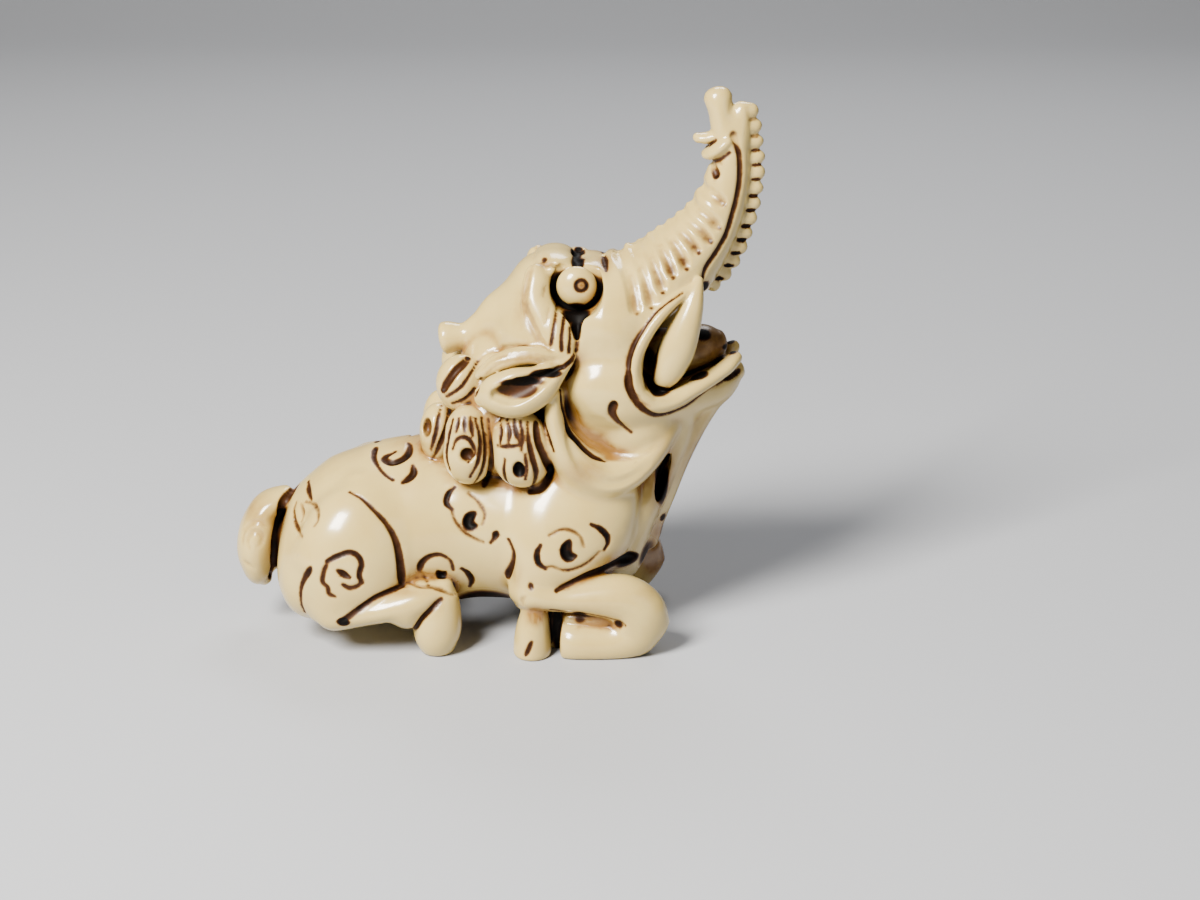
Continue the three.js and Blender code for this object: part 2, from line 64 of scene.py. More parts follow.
from mathutils.geometry import tessellate_polygon

LOG = logging.getLogger("netsuke")

TAIL_BACK = 22.38      # the back of the tail lies that far behind the beast's own zero, in mm
SOLE = 0.65            # the soles are cut flat that far above its own zero, in mm
VOXEL = 0.12           # the carver's finest step, in mm
BAND = 10              # how many steps round the skin the distances are kept for
FACES = 196_000        # triangles in the finished beast
BEADS = 13             # beads on the crest
# Stained skin here counts the painted shade too.
THRIFT = 0.02          # how much rather plain skin than stained skin gives up its triangles
# How far a line's stain seeps past its halo, in mm, and how softly it ends: a share of the line's half-width, and mm.
SEEP = 0.12
FADE_SHARE = 0.3
FADE = 0.15

Row = tuple[float, ...]
Point = tuple[float, float, float]


# ---- Lines and solids ----------------------------------------------------------------------


def unit(vectors: np.ndarray) -> np.ndarray:
    """Scales vectors to length 1.

    Args:
        vectors: One vector, or one in each row.

    Returns:
        The same directions, with length 1.
    """
    return vectors / np.maximum(np.linalg.norm(vectors, axis=-1, keepdims=True), 1e-9)


def smooth_rows(rows: list[Row], along: np.ndarray) -> np.ndarray:
    """Runs a smooth curve through rows of numbers.

    Args:
        rows: What the curve passes through, a row for each station.
        along: Where to read it, from 0 at the first row to 1 at the last.

    Returns:
        The curve's rows, one for each place in along.
    """
    given = np.asarray(rows, float)
    padded = np.vstack([2 * given[0] - given[1], given, 2 * given[-1] - given[-2]])
    place = np.clip(np.asarray(along, float), 0, 1) * (len(given) - 1)
    start = np.minimum(place.astype(int), len(given) - 2)
    u = (place - start)[:, None]
    a, b, c, d = (padded[start + i] for i in range(4))
    return 0.5 * (2 * b + (c - a) * u + (2 * a - 5 * b + 4 * c - d) * u**2 + (3 * b - 3 * c + d - a) * u**3)


def even_line(points: list[Row] | np.ndarray, spacing: float) -> np.ndarray:
    """Smooths a line through points and spaces it evenly.

    Args:
        points: The few points that the line passes through.
        spacing: The distance between the points returned, in mm.

    Returns:
        The points of the smooth line.
    """
    fine = smooth_rows(list(points), np.linspace(0, 1, 24 * len(points)))
    run = np.concatenate([[0], np.cumsum(np.linalg.norm(np.diff(fine, axis=0), axis=1))])
    count = max(4, int(run[-1] / spacing) + 1)
    where = np.linspace(0, run[-1], count)
    return np.stack([np.interp(where, run, fine[:, i]) for i in range(fine.shape[1])], axis=1)


def arc(x: float, z: float, radius: float, start: float, end: float, count: int = 6) -> list[Row]:
    """Points on an arc seen from the side.

    Args:
        x: The middle of the arc, along the beast.
        z: The middle of the arc, in height.
        radius: Its radius.
        start: Where it begins, in degrees from +X towards +Z.
        end: Where it ends.
        count: How many points.

    Returns:
        The points, as (x, z).
    """
    angles = np.radians(np.linspace(start, end, count))
    return [(x + radius * math.cos(a), z + radius * math.sin(a)) for a in angles]


@dataclass
class Solid:
    """A closed mesh of triangles, in the beast's millimetres."""

    points: np.ndarray
    faces: np.ndarray


@dataclass
class Limb:
    """A round form along a bent line. A row is x, y, z, half-width to the side, half-depth."""

    rows: list[Row]
    side: Point = (0.0, 1.0, 0.0)
    sides: int = 36
    per_row: int = 8
    dome: float = 0.6

    def at(self, along: np.ndarray) -> tuple[np.ndarray, np.ndarray, np.ndarray, np.ndarray]:
        """Reads the limb's line.

        Args:
            along: Places from 0 at the first row to 1 at the last.

        Returns:
            The middles and half-sizes, and the directions along, to the side and in depth.
        """
        rows = smooth_rows(self.rows, along)
        tiny = 1e-3
        ahead = smooth_rows(self.rows, np.asarray(along) + tiny)[:, :3]
        behind = smooth_rows(self.rows, np.asarray(along) - tiny)[:, :3]
        tangent = unit(ahead - behind)
        side = np.asarray(self.side, float)
        across = unit(side - tangent * (tangent @ side)[:, None])
        return rows, tangent, across, np.cross(across, tangent)

    def solid(self) -> Solid:
        """Builds the limb as a tube of rings that a dome closes at each end."""
        count = (len(self.rows) - 1) * self.per_row + 1
        rows, tangent, across, deep = self.at(np.linspace(0, 1, count))
        middle, size = rows[:, :3], np.maximum(rows[:, 3:5], 0.05)
        cap = np.radians([85, 60, 35])
        rings = [(0, -math.sin(a), math.cos(a)) for a in cap]
        rings += [(i, 0.0, 1.0) for i in range(count)]
        rings += [(count - 1, math.sin(a), math.cos(a)) for a in cap[::-1]]
        turn = np.linspace(0, 2 * math.pi, self.sides, endpoint=False)
        points = []
        for i, push, shrink in rings:
            centre = middle[i] + tangent[i] * push * self.dome * size[i].min()
            points.append(
                centre
                + np.outer(np.cos(turn) * size[i, 0] * shrink, across[i])
                + np.outer(np.sin(turn) * size[i, 1] * shrink, deep[i])
            )
        return tube_solid(np.array(points))


def tube_solid(rings: np.ndarray) -> Solid:
    """Closes rings of points into a tube with a fan at each end.

    Args:
        rings: The points, as ring by place on the ring by coordinate.

    Returns:
        The closed solid.
    """
    count, sides, _ = rings.shape
    index = np.arange(count * sides).reshape(count, sides)
    a, b = index[:-1], index[1:]
    a2, b2 = np.roll(a, -1, axis=1), np.roll(b, -1, axis=1)
    faces = [np.stack([a, b, b2], -1).reshape(-1, 3), np.stack([a, b2, a2], -1).reshape(-1, 3)]
    points = np.vstack([rings.reshape(-1, 3), rings[0].mean(0), rings[-1].mean(0)])
    first, last = index[0], index[-1]
    faces.append(np.stack([first, np.roll(first, -1), np.full(sides, count * sides)], -1))
    faces.append(np.stack([np.roll(last, -1), last, np.full(sides, count * sides + 1)], -1))
    return Solid(points.astype(np.float32), np.vstack(faces).astype(np.uint32))


def pebble(centre: Point, radii: Point, lean: float = 0.0, turn: float = 0.0) -> Solid:
    """A smooth ellipsoid.

    Args:
        centre: Its middle.
        radii: Its half-sizes along X, Y and Z before it leans.
        lean: How far it leans from +X up towards +Z, in degrees.
        turn: How far it then turns about the vertical, in degrees.

    Returns:
        The closed solid.
    """
    down = np.radians(np.linspace(2, 178, 25))
    round_ = np.linspace(0, 2 * math.pi, 36, endpoint=False)
    rings = np.stack(
        [
            np.outer(np.sin(down), np.cos(round_)),
            np.outer(np.sin(down), np.sin(round_)),
            np.outer(np.cos(down), np.ones_like(round_)),
        ],
        -1,
    ) * np.asarray(radii)
    a, b = math.radians(lean), math.radians(turn)
    tilt = np.array([[math.cos(a), 0, -math.sin(a)], [0, 1, 0], [math.sin(a), 0, math.cos(a)]])
    spin = np.array([[math.cos(b), -math.sin(b), 0], [math.sin(b), math.cos(b), 0], [0, 0, 1]])
    return tube_solid(rings @ tilt.T @ spin.T + np.asarray(centre))


def prism(outline: list[Row], half_width: float) -> Solid:
    """A straight-sided solid, as wide as the head, from an outline seen from the side.

    Args:
        outline: The corners, as (x, z).
        half_width: How far it reaches to each side.

    Returns:
        The closed solid.
    """
    flat = [Vector((x, z, 0.0)) for x, z in outline]
    caps = np.array(tessellate_polygon([flat]))
    count = len(flat)
    points = [(x, y, z) for y in (-half_width, half_width) for x, z in outline]
    walls = []
    for i in range(count):
        j = (i + 1) % count
        walls += [(i, j, j + count), (i, j + count, i + count)]
    faces = np.vstack([caps, caps[:, ::-1] + count, np.array(walls)])
    return Solid(np.array(points, np.float32), faces.astype(np.uint32))


# ---- The block and its skin ----------------------------------------------------------------


class Step(Enum):
    """When a form is carved."""

    MASS = "mass"          # joined to the block
    HOLLOW = "hollow"      # cut out of it
    INSET = "inset"        # left standing in a hollow


@dataclass
class Form:
    """A solid that is joined to the block or cut out of it.

    blend is how softly it runs into what is there, in mm.
    """

    solid: Solid
    step: Step = Step.MASS
    blend: float = 0.6


@dataclass
class Block:
    """The near half of the block, as distances to the beast's skin, below zero inside it."""

    low: Point = (-24.0, -11.25, -0.3)
    high: Point = (24.0, 0.0, 48.6)
    field: np.ndarray = field(init=False)

    def __post_init__(self) -> None:
        """Starts with nothing in the block."""
        self.corner = np.round(np.array(self.low) / VOXEL).astype(int)
        last = np.round(np.array(self.high) / VOXEL).astype(int)
        self.field = np.full(last - self.corner + 1, BAND * VOXEL, np.float32)

    def _near(self, solid: Solid) -> tuple[tuple[slice, ...], np.ndarray]:
        """Measures the distances to a solid.

        Args:
            solid: The closed solid.

        Returns:
            The part of the block that it reaches, and the distances there.
        """
        grid = vdb.FloatGrid.createLevelSetFromPolygons(
            solid.points,
            triangles=solid.faces,
            transform=vdb.createLinearTransform(voxelSize=VOXEL),
            halfWidth=BAND,
        )
        low, high = (np.array(c) for c in grid.evalActiveVoxelBoundingBox())
        low = np.maximum(low, self.corner)
        high = np.minimum(high + 1, self.corner + self.field.shape)
        near = np.empty(np.maximum(high - low, 1), np.float32)
        grid.copyToArray(near, ijk=tuple(int(i) for i in low))
        where = tuple(slice(a, b) for a, b in zip(low - self.corner, high - self.corner))
        return where, near

    def join(self, solid: Solid, blend: float) -> None:
        """Joins a solid to the block.

        Args:
            solid: The closed solid.
            blend: How softly it runs into what is there, in mm.
        """
        where, near = self._near(solid)
        here = self.field[where]
        soft = np.maximum(blend - np.abs(here - near), 0) ** 2 / (4 * blend)
        self.field[where] = np.minimum(here, near) - soft

    def cut(self, solid: Solid, blend: float) -> None:
        """Cuts a solid out of the block.

        Args:
            solid: The closed solid.
            blend: How round the cut's edge is left, in mm.
        """
        where, near = self._near(solid)
        here = self.field[where]
        soft = np.maximum(blend - np.abs(here + near), 0) ** 2 / (4 * blend)
        self.field[where] = np.maximum(here, -near) + soft

    def stand(self, height: float, edge: float) -> None:
        """Cuts the underside flat.

        Args:
            height: Where the sole is.
            edge: How round its edge is left, in mm.
        """
        z = (self.corner[2] + np.arange(self.field.shape[2])) * VOXEL
        near = np.broadcast_to((height - z).astype(np.float32), self.field.shape)
        soft = np.maximum(edge - np.abs(self.field - near), 0) ** 2 / (4 * edge)
        self.field = np.maximum(self.field, near) + soft

    def polish(self, passes: int) -> None:
        """Rubs the sharpest edges down.

        Args:
            passes: How many times the whole skin is gone over.
        """
        for _ in range(passes):
            for axis in range(3):
                pad = [(1, 1) if i == axis else (0, 0) for i in range(3)]
                wide = np.pad(self.field, pad, mode="reflect")
                a, b, c = (
                    np.take(wide, range(i, i + self.field.shape[axis]), axis=axis) for i in range(3)
                )
                self.field = 0.25 * a + 0.5 * b + 0.25 * c

    def mirrored(self) -> np.ndarray:
        """Both halves of the block."""
        return np.concatenate([self.field, self.field[:, -2::-1]], axis=1)

    def mesh(self, whole: bool) -> tuple[np.ndarray, np.ndarray]:
        """Meshes the skin.

        Args:
            whole: Whether both halves are wanted, or only the near one, left open.

        Returns:
            The points and the four-sided faces.
        """
        tight = 3 * VOXEL
        grid = vdb.FloatGrid(tight)
        grid.transform = vdb.createLinearTransform(voxelSize=VOXEL)
        distances = self.mirrored() if whole else self.field
        grid.copyFromArray(np.clip(distances, -tight, tight), ijk=tuple(int(i) for i in self.corner))
        points, quads = grid.convertToQuads(0.0)
        return points, quads


class Skin:
    """The beast's skin before the lines are incised, for placing them on it."""

    def __init__(self, block: Block) -> None:
        """Takes the skin from the block.

        Args:
            block: The block with its forms and hollows done.
        """
        points, quads = block.mesh(whole=False)
        self.tree = BVHTree.FromPolygons(points.tolist(), quads.tolist())
        top = self.tree.ray_cast(Vector((0.0, -1.0, 60.0)), Vector((0.0, 0.0, -1.0)))
        self.outward = math.copysign(1.0, top[1].z)

    def reach(self, outside: np.ndarray, inside: np.ndarray) -> tuple[np.ndarray, np.ndarray]:
        """Finds where a line from outside meets the skin.

        Args:
            outside: A point clear of the beast.
            inside: The point that the line runs towards.

        Returns:
            The point on the skin and the skin's outward direction there.
        """
        along = unit(np.asarray(inside, float) - np.asarray(outside, float))
        place, normal, _, _ = self.tree.ray_cast(Vector(outside), Vector(along))
        if place is None:
            return np.asarray(inside, float), -along
        outward = np.array(normal) if Vector(normal).dot(Vector(along)) < 0 else -np.array(normal)
        return np.array(place), outward

    def nearest(self, point: np.ndarray) -> tuple[np.ndarray, np.ndarray]:
        """Finds the skin nearest to a point.

        Args:
            point: A point near the skin.

        Returns:
            The point on the skin and the skin's outward direction there.
        """
        place, normal, _, _ = self.tree.find_nearest(Vector(point))
        return np.array(place), np.array(normal) * self.outward


class Swell(Enum):
    """How an incised line's width changes along it."""

    MIDDLE = "thin at both ends"
    END = "thin where it starts, a drop where it ends"
    START = "a drop where it starts, thin where it ends"
    EVEN = "the same all along"
    RIB = "narrow over the back, wide at its end"

    def shares(self, along: np.ndarray) -> np.ndarray:
        """The share of the full width at places from 0 to 1 along the line."""
        if self is Swell.MIDDLE:
            return 1 - 0.65 * np.abs(2 * along - 1) ** 2.2
        if self is Swell.END:
            return (0.3 + 0.7 * along**1.3) * (1 - 0.5 * np.clip((along - 0.88) / 0.12, 0, 1) ** 2)
        if self is Swell.START:
            return Swell.END.shares(1 - along)
        if self is Swell.RIB:
            return (0.6 + 0.4 * along) * (1 - 0.6 * np.clip((along - 0.85) / 0.15, 0, 1) ** 2)
        return 1 - 0.3 * np.abs(2 * along - 1) ** 8

    def darks(self, along: np.ndarray) -> np.ndarray:
        """The share of the stain's full darkness at places from 0 to 1 along the line."""
        if self is Swell.RIB:
            return 0.2 + 0.8 * np.clip(1.35 * along, 0, 1) ** 1.3
        return 0.7 + 0.3 * self.shares(along)


@dataclass
class Mark:
    """An incised line: its points in the block, its half-widths, and how dark its stain is there.

    halo is how far the stain spreads, in half-widths.
    """

    points: np.ndarray
    radii: np.ndarray
    ink: np.ndarray
    halo: float


@dataclass
class Burin:
    """Lays incised lines on the skin."""

    skin: Skin
    spacing: float = 0.2

    def mark(
        self, outside: np.ndarray, inside: np.ndarray, width: float, ink: float, swell: Swell, lift: float, halo: float
    ) -> Mark:
        """Lays a line on the skin where lines from outside to inside meet it.

        Args:
            outside: Points clear of the beast, one for each point of the line.
            inside: What they run towards.
            width: The line's full width, in mm.
            ink: How dark its stain is, from 0 to 1.
            swell: How its width changes.
            lift: How far above the skin the tool's centre stays, as a share of its radius.
            halo: How far its stain spreads, in radii.

        Returns:
            The mark.
        """
        along = np.linspace(0, 1, len(outside))
        radii = np.maximum(0.5 * width * swell.shares(along), 0.13)
        points = []
        for start, end, radius in zip(outside, inside, radii):
            place, outward = self.skin.reach(start, end)
            points.append(place + outward * radius * lift)
        return Mark(np.array(points), radii, ink * swell.darks(along), halo)

    def side(
        self,
        line: list[Row],
        width: float = 0.45,
        ink: float = 0.85,
        swell: Swell = Swell.MIDDLE,
        lift: float = 0.0,
        halo: float = 1.3,
    ) -> Mark:
        """Lays a line on the near side. Its points are (x, z), seen square to the side."""
        flat = even_line(line, self.spacing)
        inside = np.stack([flat[:, 0], np.zeros(len(flat)), flat[:, 1]], 1)
        outside = inside + np.array([0.0, -14.0, 0.0])
        return self.mark(outside, inside, width, ink, swell, lift, halo)

    def near(
        self,
        line: list[Row],
        width: float = 0.45,
        ink: float = 0.85,
        swell: Swell = Swell.MIDDLE,
        lift: float = 0.0,
        halo: float = 1.3,
    ) -> Mark:
        """Lays a line on the skin nearest to it. Its points are (x, y, z)."""
        points = even_line(line, self.spacing)
        places = [self.skin.nearest(point) for point in points]
        skin = np.array([place for place, _ in places])
        out = np.array([outward for _, outward in places])
        return self.mark(skin + out * 0.5, skin - out * 0.5, width, ink, swell, lift, halo)


@dataclass
class StainAndShade:
    """A place where the stain was let lie, or where shade is painted as stain: its middle, half-sizes, darkness and
    edge.
    """

    centre: Point
    radii: Point
    ink: float


@dataclass
class WarmthAndShade:
    """A place that handling and stain have turned honey-coloured, or where shade is painted honey-coloured, on both
    sides, or on the far one only, which is painted shade.
    """

    centre: Point
    radii: Point
    strength: float
    far: bool = False


class Part:
    """A part of the beast. Each kind of part overrides what it has."""

    def forms(self) -> list[Form]:
        """What is joined to the block and cut out of it."""
        return []

    def marks(self, burin: Burin) -> list[Mark]:
        """The lines incised on it."""
        return []

    def stains_and_shades(self) -> list[StainAndShade]:
        """Where stain lies in it, and where shade is painted as stain."""
        return []

    def warmths_and_shades(self) -> list[WarmthAndShade]:
        """Where it has turned honey-coloured, and where shade is painted honey-coloured."""
        return []


# ---- Body and legs -------------------------------------------------------------------------


@dataclass
class Body(Part):
    """The torso, the haunches and the tail that curls up against the rump."""

    soft: float = 1.2     # how softly the haunch and the buttock run into the torso, in mm

    def forms(self) -> list[Form]:
        """The masses of the body."""
        torso = Limb([
            (-18.4, 0, 9.4, 1.0, 1.2), (-17.3, 0, 9.3, 4.2, 3.5), (-14.2, 0, 9.2, 7.0, 6.1),
            (-10.6, 0, 9.3, 8.0, 7.1), (-6.2, 0, 10.0, 7.5, 7.4), (-1.5, 0, 10.3, 7.1, 7.0),
            (4.0, 0, 10.2, 7.6, 7.0), (9.0, 0, 9.8, 7.0, 6.2), (12.4, 0, 9.2, 4.2, 4.4), (13.6, 0, 9.0, 1.4, 1.8),
        ], sides=72)
        haunch = Limb([
            (-13.5, -6.8, 3.8, 1.2, 1.2), (-13.3, -7.0, 4.8, 2.2, 2.5), (-12.1, -6.8, 7.4, 2.9, 4.6),
            (-11.3, -6.2, 10.8, 2.9, 4.5), (-10.9, -5.0, 13.4, 2.2, 3.0), (-10.9, -4.2, 14.8, 0.8, 1.0),
        ])
        tail = Limb([
            (-16.8, 0, 12.4, 1.0, 0.6), (-18.3, 0, 12.0, 1.9, 0.95), (-19.6, 0, 11.1, 2.5, 1.35),
            (-20.2, 0, 9.5, 2.9, 1.75), (-20.6, 0, 7.6, 3.0, 1.75), (-20.55, 0, 6.1, 2.6, 1.5),
            (-20.3, 0, 5.0, 1.9, 1.2), (-20.0, 0, 4.4, 0.9, 0.6),
        ])
        return [
            Form(torso.solid()),
            Form(haunch.solid(), blend=self.soft),
            Form(pebble((-15.5, -3.6, 6.8), (2.9, 4.2, 4.2)), blend=self.soft),
            Form(pebble((-18.7, 0, 8.6), (1.5, 1.5, 3.2)), blend=0.3),
            Form(tail.solid(), blend=0.1),
        ]

    def marks(self, burin: Burin) -> list[Mark]:
        """The creases of the thigh, the rump and the tail."""
        return [
            burin.side([(-11.7, 14.7), (-10.6, 14.3), (-9.5, 13.4), (-8.5, 12.3), (-7.8, 10.9), (-7.5, 9.1),
                        (-7.4, 6.9)],
                       0.85, 1.0, Swell.END, halo=1.15),
            burin.side([(-7.4, 6.9), (-8.4, 6.7), (-9.6, 6.3), (-10.8, 5.5), (-12.0, 4.6),
                        (-12.7, 4.2)], 0.42, 0.85, Swell.EVEN),
            burin.side([(-14.9, 8.9), (-15.5, 7.8), (-15.9, 6.7), (-16.0, 5.3), (-15.8, 4.2)], 0.55, 0.9, Swell.START),
            burin.side([(-17.0, 13.2), (-17.8, 12.4), (-18.3, 11.0), (-18.8, 9.2), (-19.0, 7.4), (-19.2, 6.0),
                        (-19.5, 4.9)],
                       0.8, 1.0, Swell.EVEN, halo=1.15),
            burin.side([(-21.5, 8.5), (-21.4, 9.6), (-20.8, 10.4), (-19.9, 10.7), (-19.3, 10.0)], 0.6, 0.25, lift=0.4),
            burin.side([(-20.8, 8.4), (-21.0, 9.2), (-20.4, 9.9), (-19.8, 9.6), (-19.8, 8.9),
                        (-20.2, 8.5)], 0.6, 0.3, lift=0.4),
            burin.side([(-21.5, 7.2), (-21.0, 6.8), (-20.5, 6.4)], 0.5, 0.25, lift=0.4),
        ]

    def stains_and_shades(self) -> list[StainAndShade]:
        """The dark end of the thigh's crease, and the hollow under the belly, which is stain and painted shade."""
        return [
            StainAndShade((-12.3, -9.2, 4.2), (0.6, 0.8, 0.45), 0.95),
            # The hollow under the belly: stain, and the shade that falls there painted dark.
            StainAndShade((-0.7, -1.0, 3.6), (3.2, 7.4, 2.3), 0.85),
        ]

    def warmths_and_shades(self) -> list[WarmthAndShade]:
        """The tail's tip and the rump's top, which the stain has tinted."""
        return [
            WarmthAndShade((-20.0, -1.0, 11.2), (2.4, 3.0, 1.8), 0.8),
            WarmthAndShade((-5.4, -1.0, 17.6), (5.0, 4.0, 2.4), 0.75),
            WarmthAndShade((-13.0, -1.0, 15.5), (4.0, 4.0, 2.2), 0.35),
        ]


@dataclass
class Legs(Part):
    """The folded legs: shanks and hooves behind, forearms, cannons and hooves in front."""

    out: float = 7.5      # the middle of each leg, out from the plane of symmetry, in mm

    def forms(self) -> list[Form]:
        """The masses of the legs."""
        out = self.out
        shank = Limb([
            (-14.8, -6.9, 4.1, 0.8, 0.8), (-13.4, -7.0, 4.2, 2.0, 1.5), (-10.6, -7.2, 4.6, 2.3, 1.3),
            (-8.0, -7.2, 5.2, 2.4, 1.45), (-5.9, -7.1, 5.7, 2.3, 1.5), (-4.4, -7.0, 5.9, 1.6, 1.2),
        ])
        hind_hoof = Limb([
            (-4.0, -6.9, 6.7, 0.9, 0.8), (-4.2, -7.0, 5.6, 1.7, 1.5), (-4.5, -7.1, 4.0, 2.1, 1.95),
            (-4.65, -7.1, 2.4, 2.1, 2.0), (-4.65, -7.0, 1.0, 1.6, 1.5), (-4.65, -7.0, 0.0, 1.1, 1.1),
        ])
        shoulder = Limb([
            (2.7, -6.9, 5.0, 0.9, 0.9), (3.5, -7.0, 6.8, 2.0, 2.2), (5.2, -6.5, 9.4, 2.7, 4.0),
            (6.9, -5.5, 12.2, 2.8, 4.9), (8.0, -4.4, 15.2, 2.6, 4.4), (8.4, -3.6, 17.6, 1.6, 2.2),
        ])
        forearm = Limb([
            (2.0, -7.2, 6.3, 0.8, 0.9), (3.4, -out, 6.2, 1.8, 1.5), (6.2, -7.6, 5.9, 1.9, 1.3),
            (9.2, -7.7, 5.9, 2.0, 1.75), (11.2, -7.7, 5.6, 2.0, 2.1), (12.9, -7.6, 4.4, 1.8, 2.0), (14.1, -out, 3.2,
                                                                                                    0.9, 1.1),
        ])
        cannon = Limb([
            (5.9, -out, 1.7, 1.6, 1.8), (7.0, -out, 1.7, 1.9, 1.9),
            (10.0, -out, 1.75, 1.9, 1.85), (12.4, -out, 2.4, 1.7, 1.8), (13.6, -out, 2.9, 0.9, 1.0),
        ], dome=0.12)
        web = Limb([(6.4, -7.1, 3.8, 0.9, 0.7), (9.0, -7.1, 3.8, 1.3, 0.9), (11.4, -7.1, 3.9, 1.3, 0.9)])
        fore_hoof = Limb([
            (3.75, -7.3, 5.6, 1.0, 0.9), (3.65, -7.4, 4.5, 1.4, 1.15),
            (3.45, -out, 2.6, 1.8, 1.5), (3.4, -7.6, 1.0, 1.9, 1.62), (3.4, -7.6, -0.8, 1.8, 1.6),
        ])
        return [
            Form(shank.solid(), blend=0.5),
            Form(pebble((-7.1, -7.2, 4.7), (1.7, 2.2, 1.75)), blend=0.6),
            Form(hind_hoof.solid(), blend=0.2),
            Form(shoulder.solid(), blend=1.2),
            Form(forearm.solid(), blend=0.5),
            Form(pebble((12.3, -out, 3.6), (2.2, 2.0, 2.5), 28), blend=0.8),
            Form(cannon.solid(), blend=0.4),
            Form(web.solid(), blend=0.2),
            Form(fore_hoof.solid(), blend=0.15),
            Form(pebble((5.5, -5.2, 3.2), (1.6, 2.0, 3.6)), blend=0.1),
            Form(pebble((7.35, -9.6, 4.0), (0.95, 1.1, 1.05)), Step.HOLLOW, 0.35),
            Form(pebble((10.6, -9.6, 3.8), (0.5, 0.8, 0.6), -35), Step.HOLLOW, 0.35),
        ]

    def marks(self, burin: Burin) -> list[Mark]:
        """The creases between the folded parts, and the slits of the hooves."""
        return [
            burin.side([(-4.1, 6.0), (-4.9, 5.3), (-5.8, 4.3), (-6.5, 3.1)], 0.42, 0.75, Swell.EVEN),
            burin.side([(-7.6, 7.1), (-5.9, 7.0), (-4.5, 6.8), (-3.0, 6.0)], 0.4, 0.5),
            burin.side([(1.5, 10.9), (1.9, 9.9), (1.8, 8.9), (1.3, 7.4)], 0.8, 0.95, Swell.END, halo=1.2),
            burin.side([(5.5, 6.9), (6.6, 7.4), (7.9, 7.9), (9.1, 8.1), (10.8, 8.3),
                        (12.2, 8.0)], 1.15, 1.0, Swell.END),
            burin.side([(5.0, 5.2), (6.3, 4.95), (8.3, 4.75), (10.2, 4.3), (11.2, 3.9)], 0.35, 0.7, Swell.START),
            burin.side([(3.4, 2.4), (2.9, 1.3)], 0.34, 0.85, Swell.EVEN),
            burin.side([(3.35, 7.5), (3.4, 7.1)], 0.42, 0.65, Swell.EVEN),
            burin.side([(12.5, 10.6), (11.8, 9.1), (11.0, 8.0)], 1.4, 0.0, lift=0.75),
            burin.side([(13.8, 10.2), (13.4, 8.9), (12.5, 7.7)], 1.4, 0.1, lift=0.7),
            burin.side([(2.9, 6.5), (2.6, 5.9), (2.7, 5.4)], 0.5, 0.3, lift=0.3),
        ]

    def stains_and_shades(self) -> list[StainAndShade]:
        """The pits between forearm and cannon, and the gap above the forearm, where the stain and the shade in the gap
        are painted nearly black.
        """
        return [
            StainAndShade((7.35, -9.2, 4.15), (0.9, 1.3, 0.95), 1.0),
            StainAndShade((10.6, -9.4, 3.85), (0.5, 0.9, 0.5), 0.85),
            StainAndShade((5.55, -7.4, 3.0), (0.45, 1.5, 3.4), 1.0),
            # The gap above the forearm: stain, and painted shade of the gap.
            StainAndShade((12.6, -5.4, 7.8), (2.2, 1.8, 0.7), 1.0),
            StainAndShade((13.6, -3.4, 7.0), (1.2, 3.0, 2.2), 0.8),
        ]

    def warmths_and_shades(self) -> list[WarmthAndShade]:
        """The fetlocks and the knee's front, and painted shade on the far knee, on the chest above the forearm and on
        the forearm.
        """
        return [
            WarmthAndShade((3.9, -9.0, 4.7), (1.5, 2.0, 1.2), 1.3),
            # Painted shade on the far knee, which lies in shade: on the far side only.
            WarmthAndShade((14.0, 6.5, 4.6), (2.4, 3.0, 3.4), 1.3, far=True),
            # Painted shade, with stain, on the chest above the forearm.
            WarmthAndShade((9.5, -6.8, 8.9), (3.5, 2.4, 1.3), 0.8),
            WarmthAndShade((-4.6, -8.8, 5.6), (1.2, 1.6, 1.0), 0.5),
            WarmthAndShade((12.8, -8.0, 6.4), (1.8, 2.0, 0.9), 0.6),
            WarmthAndShade((2.0, -8.4, 8.2), (0.9, 1.4, 1.6), 0.7),
            # Painted shade on the forearm.
            WarmthAndShade((8.5, -8.4, 5.2), (6.0, 2.6, 2.6), 0.5),
            WarmthAndShade((-7.4, -8.6, 6.6), (2.6, 1.4, 0.5), 0.7),
        ]


# ---- Head ----------------------------------------------------------------------------------


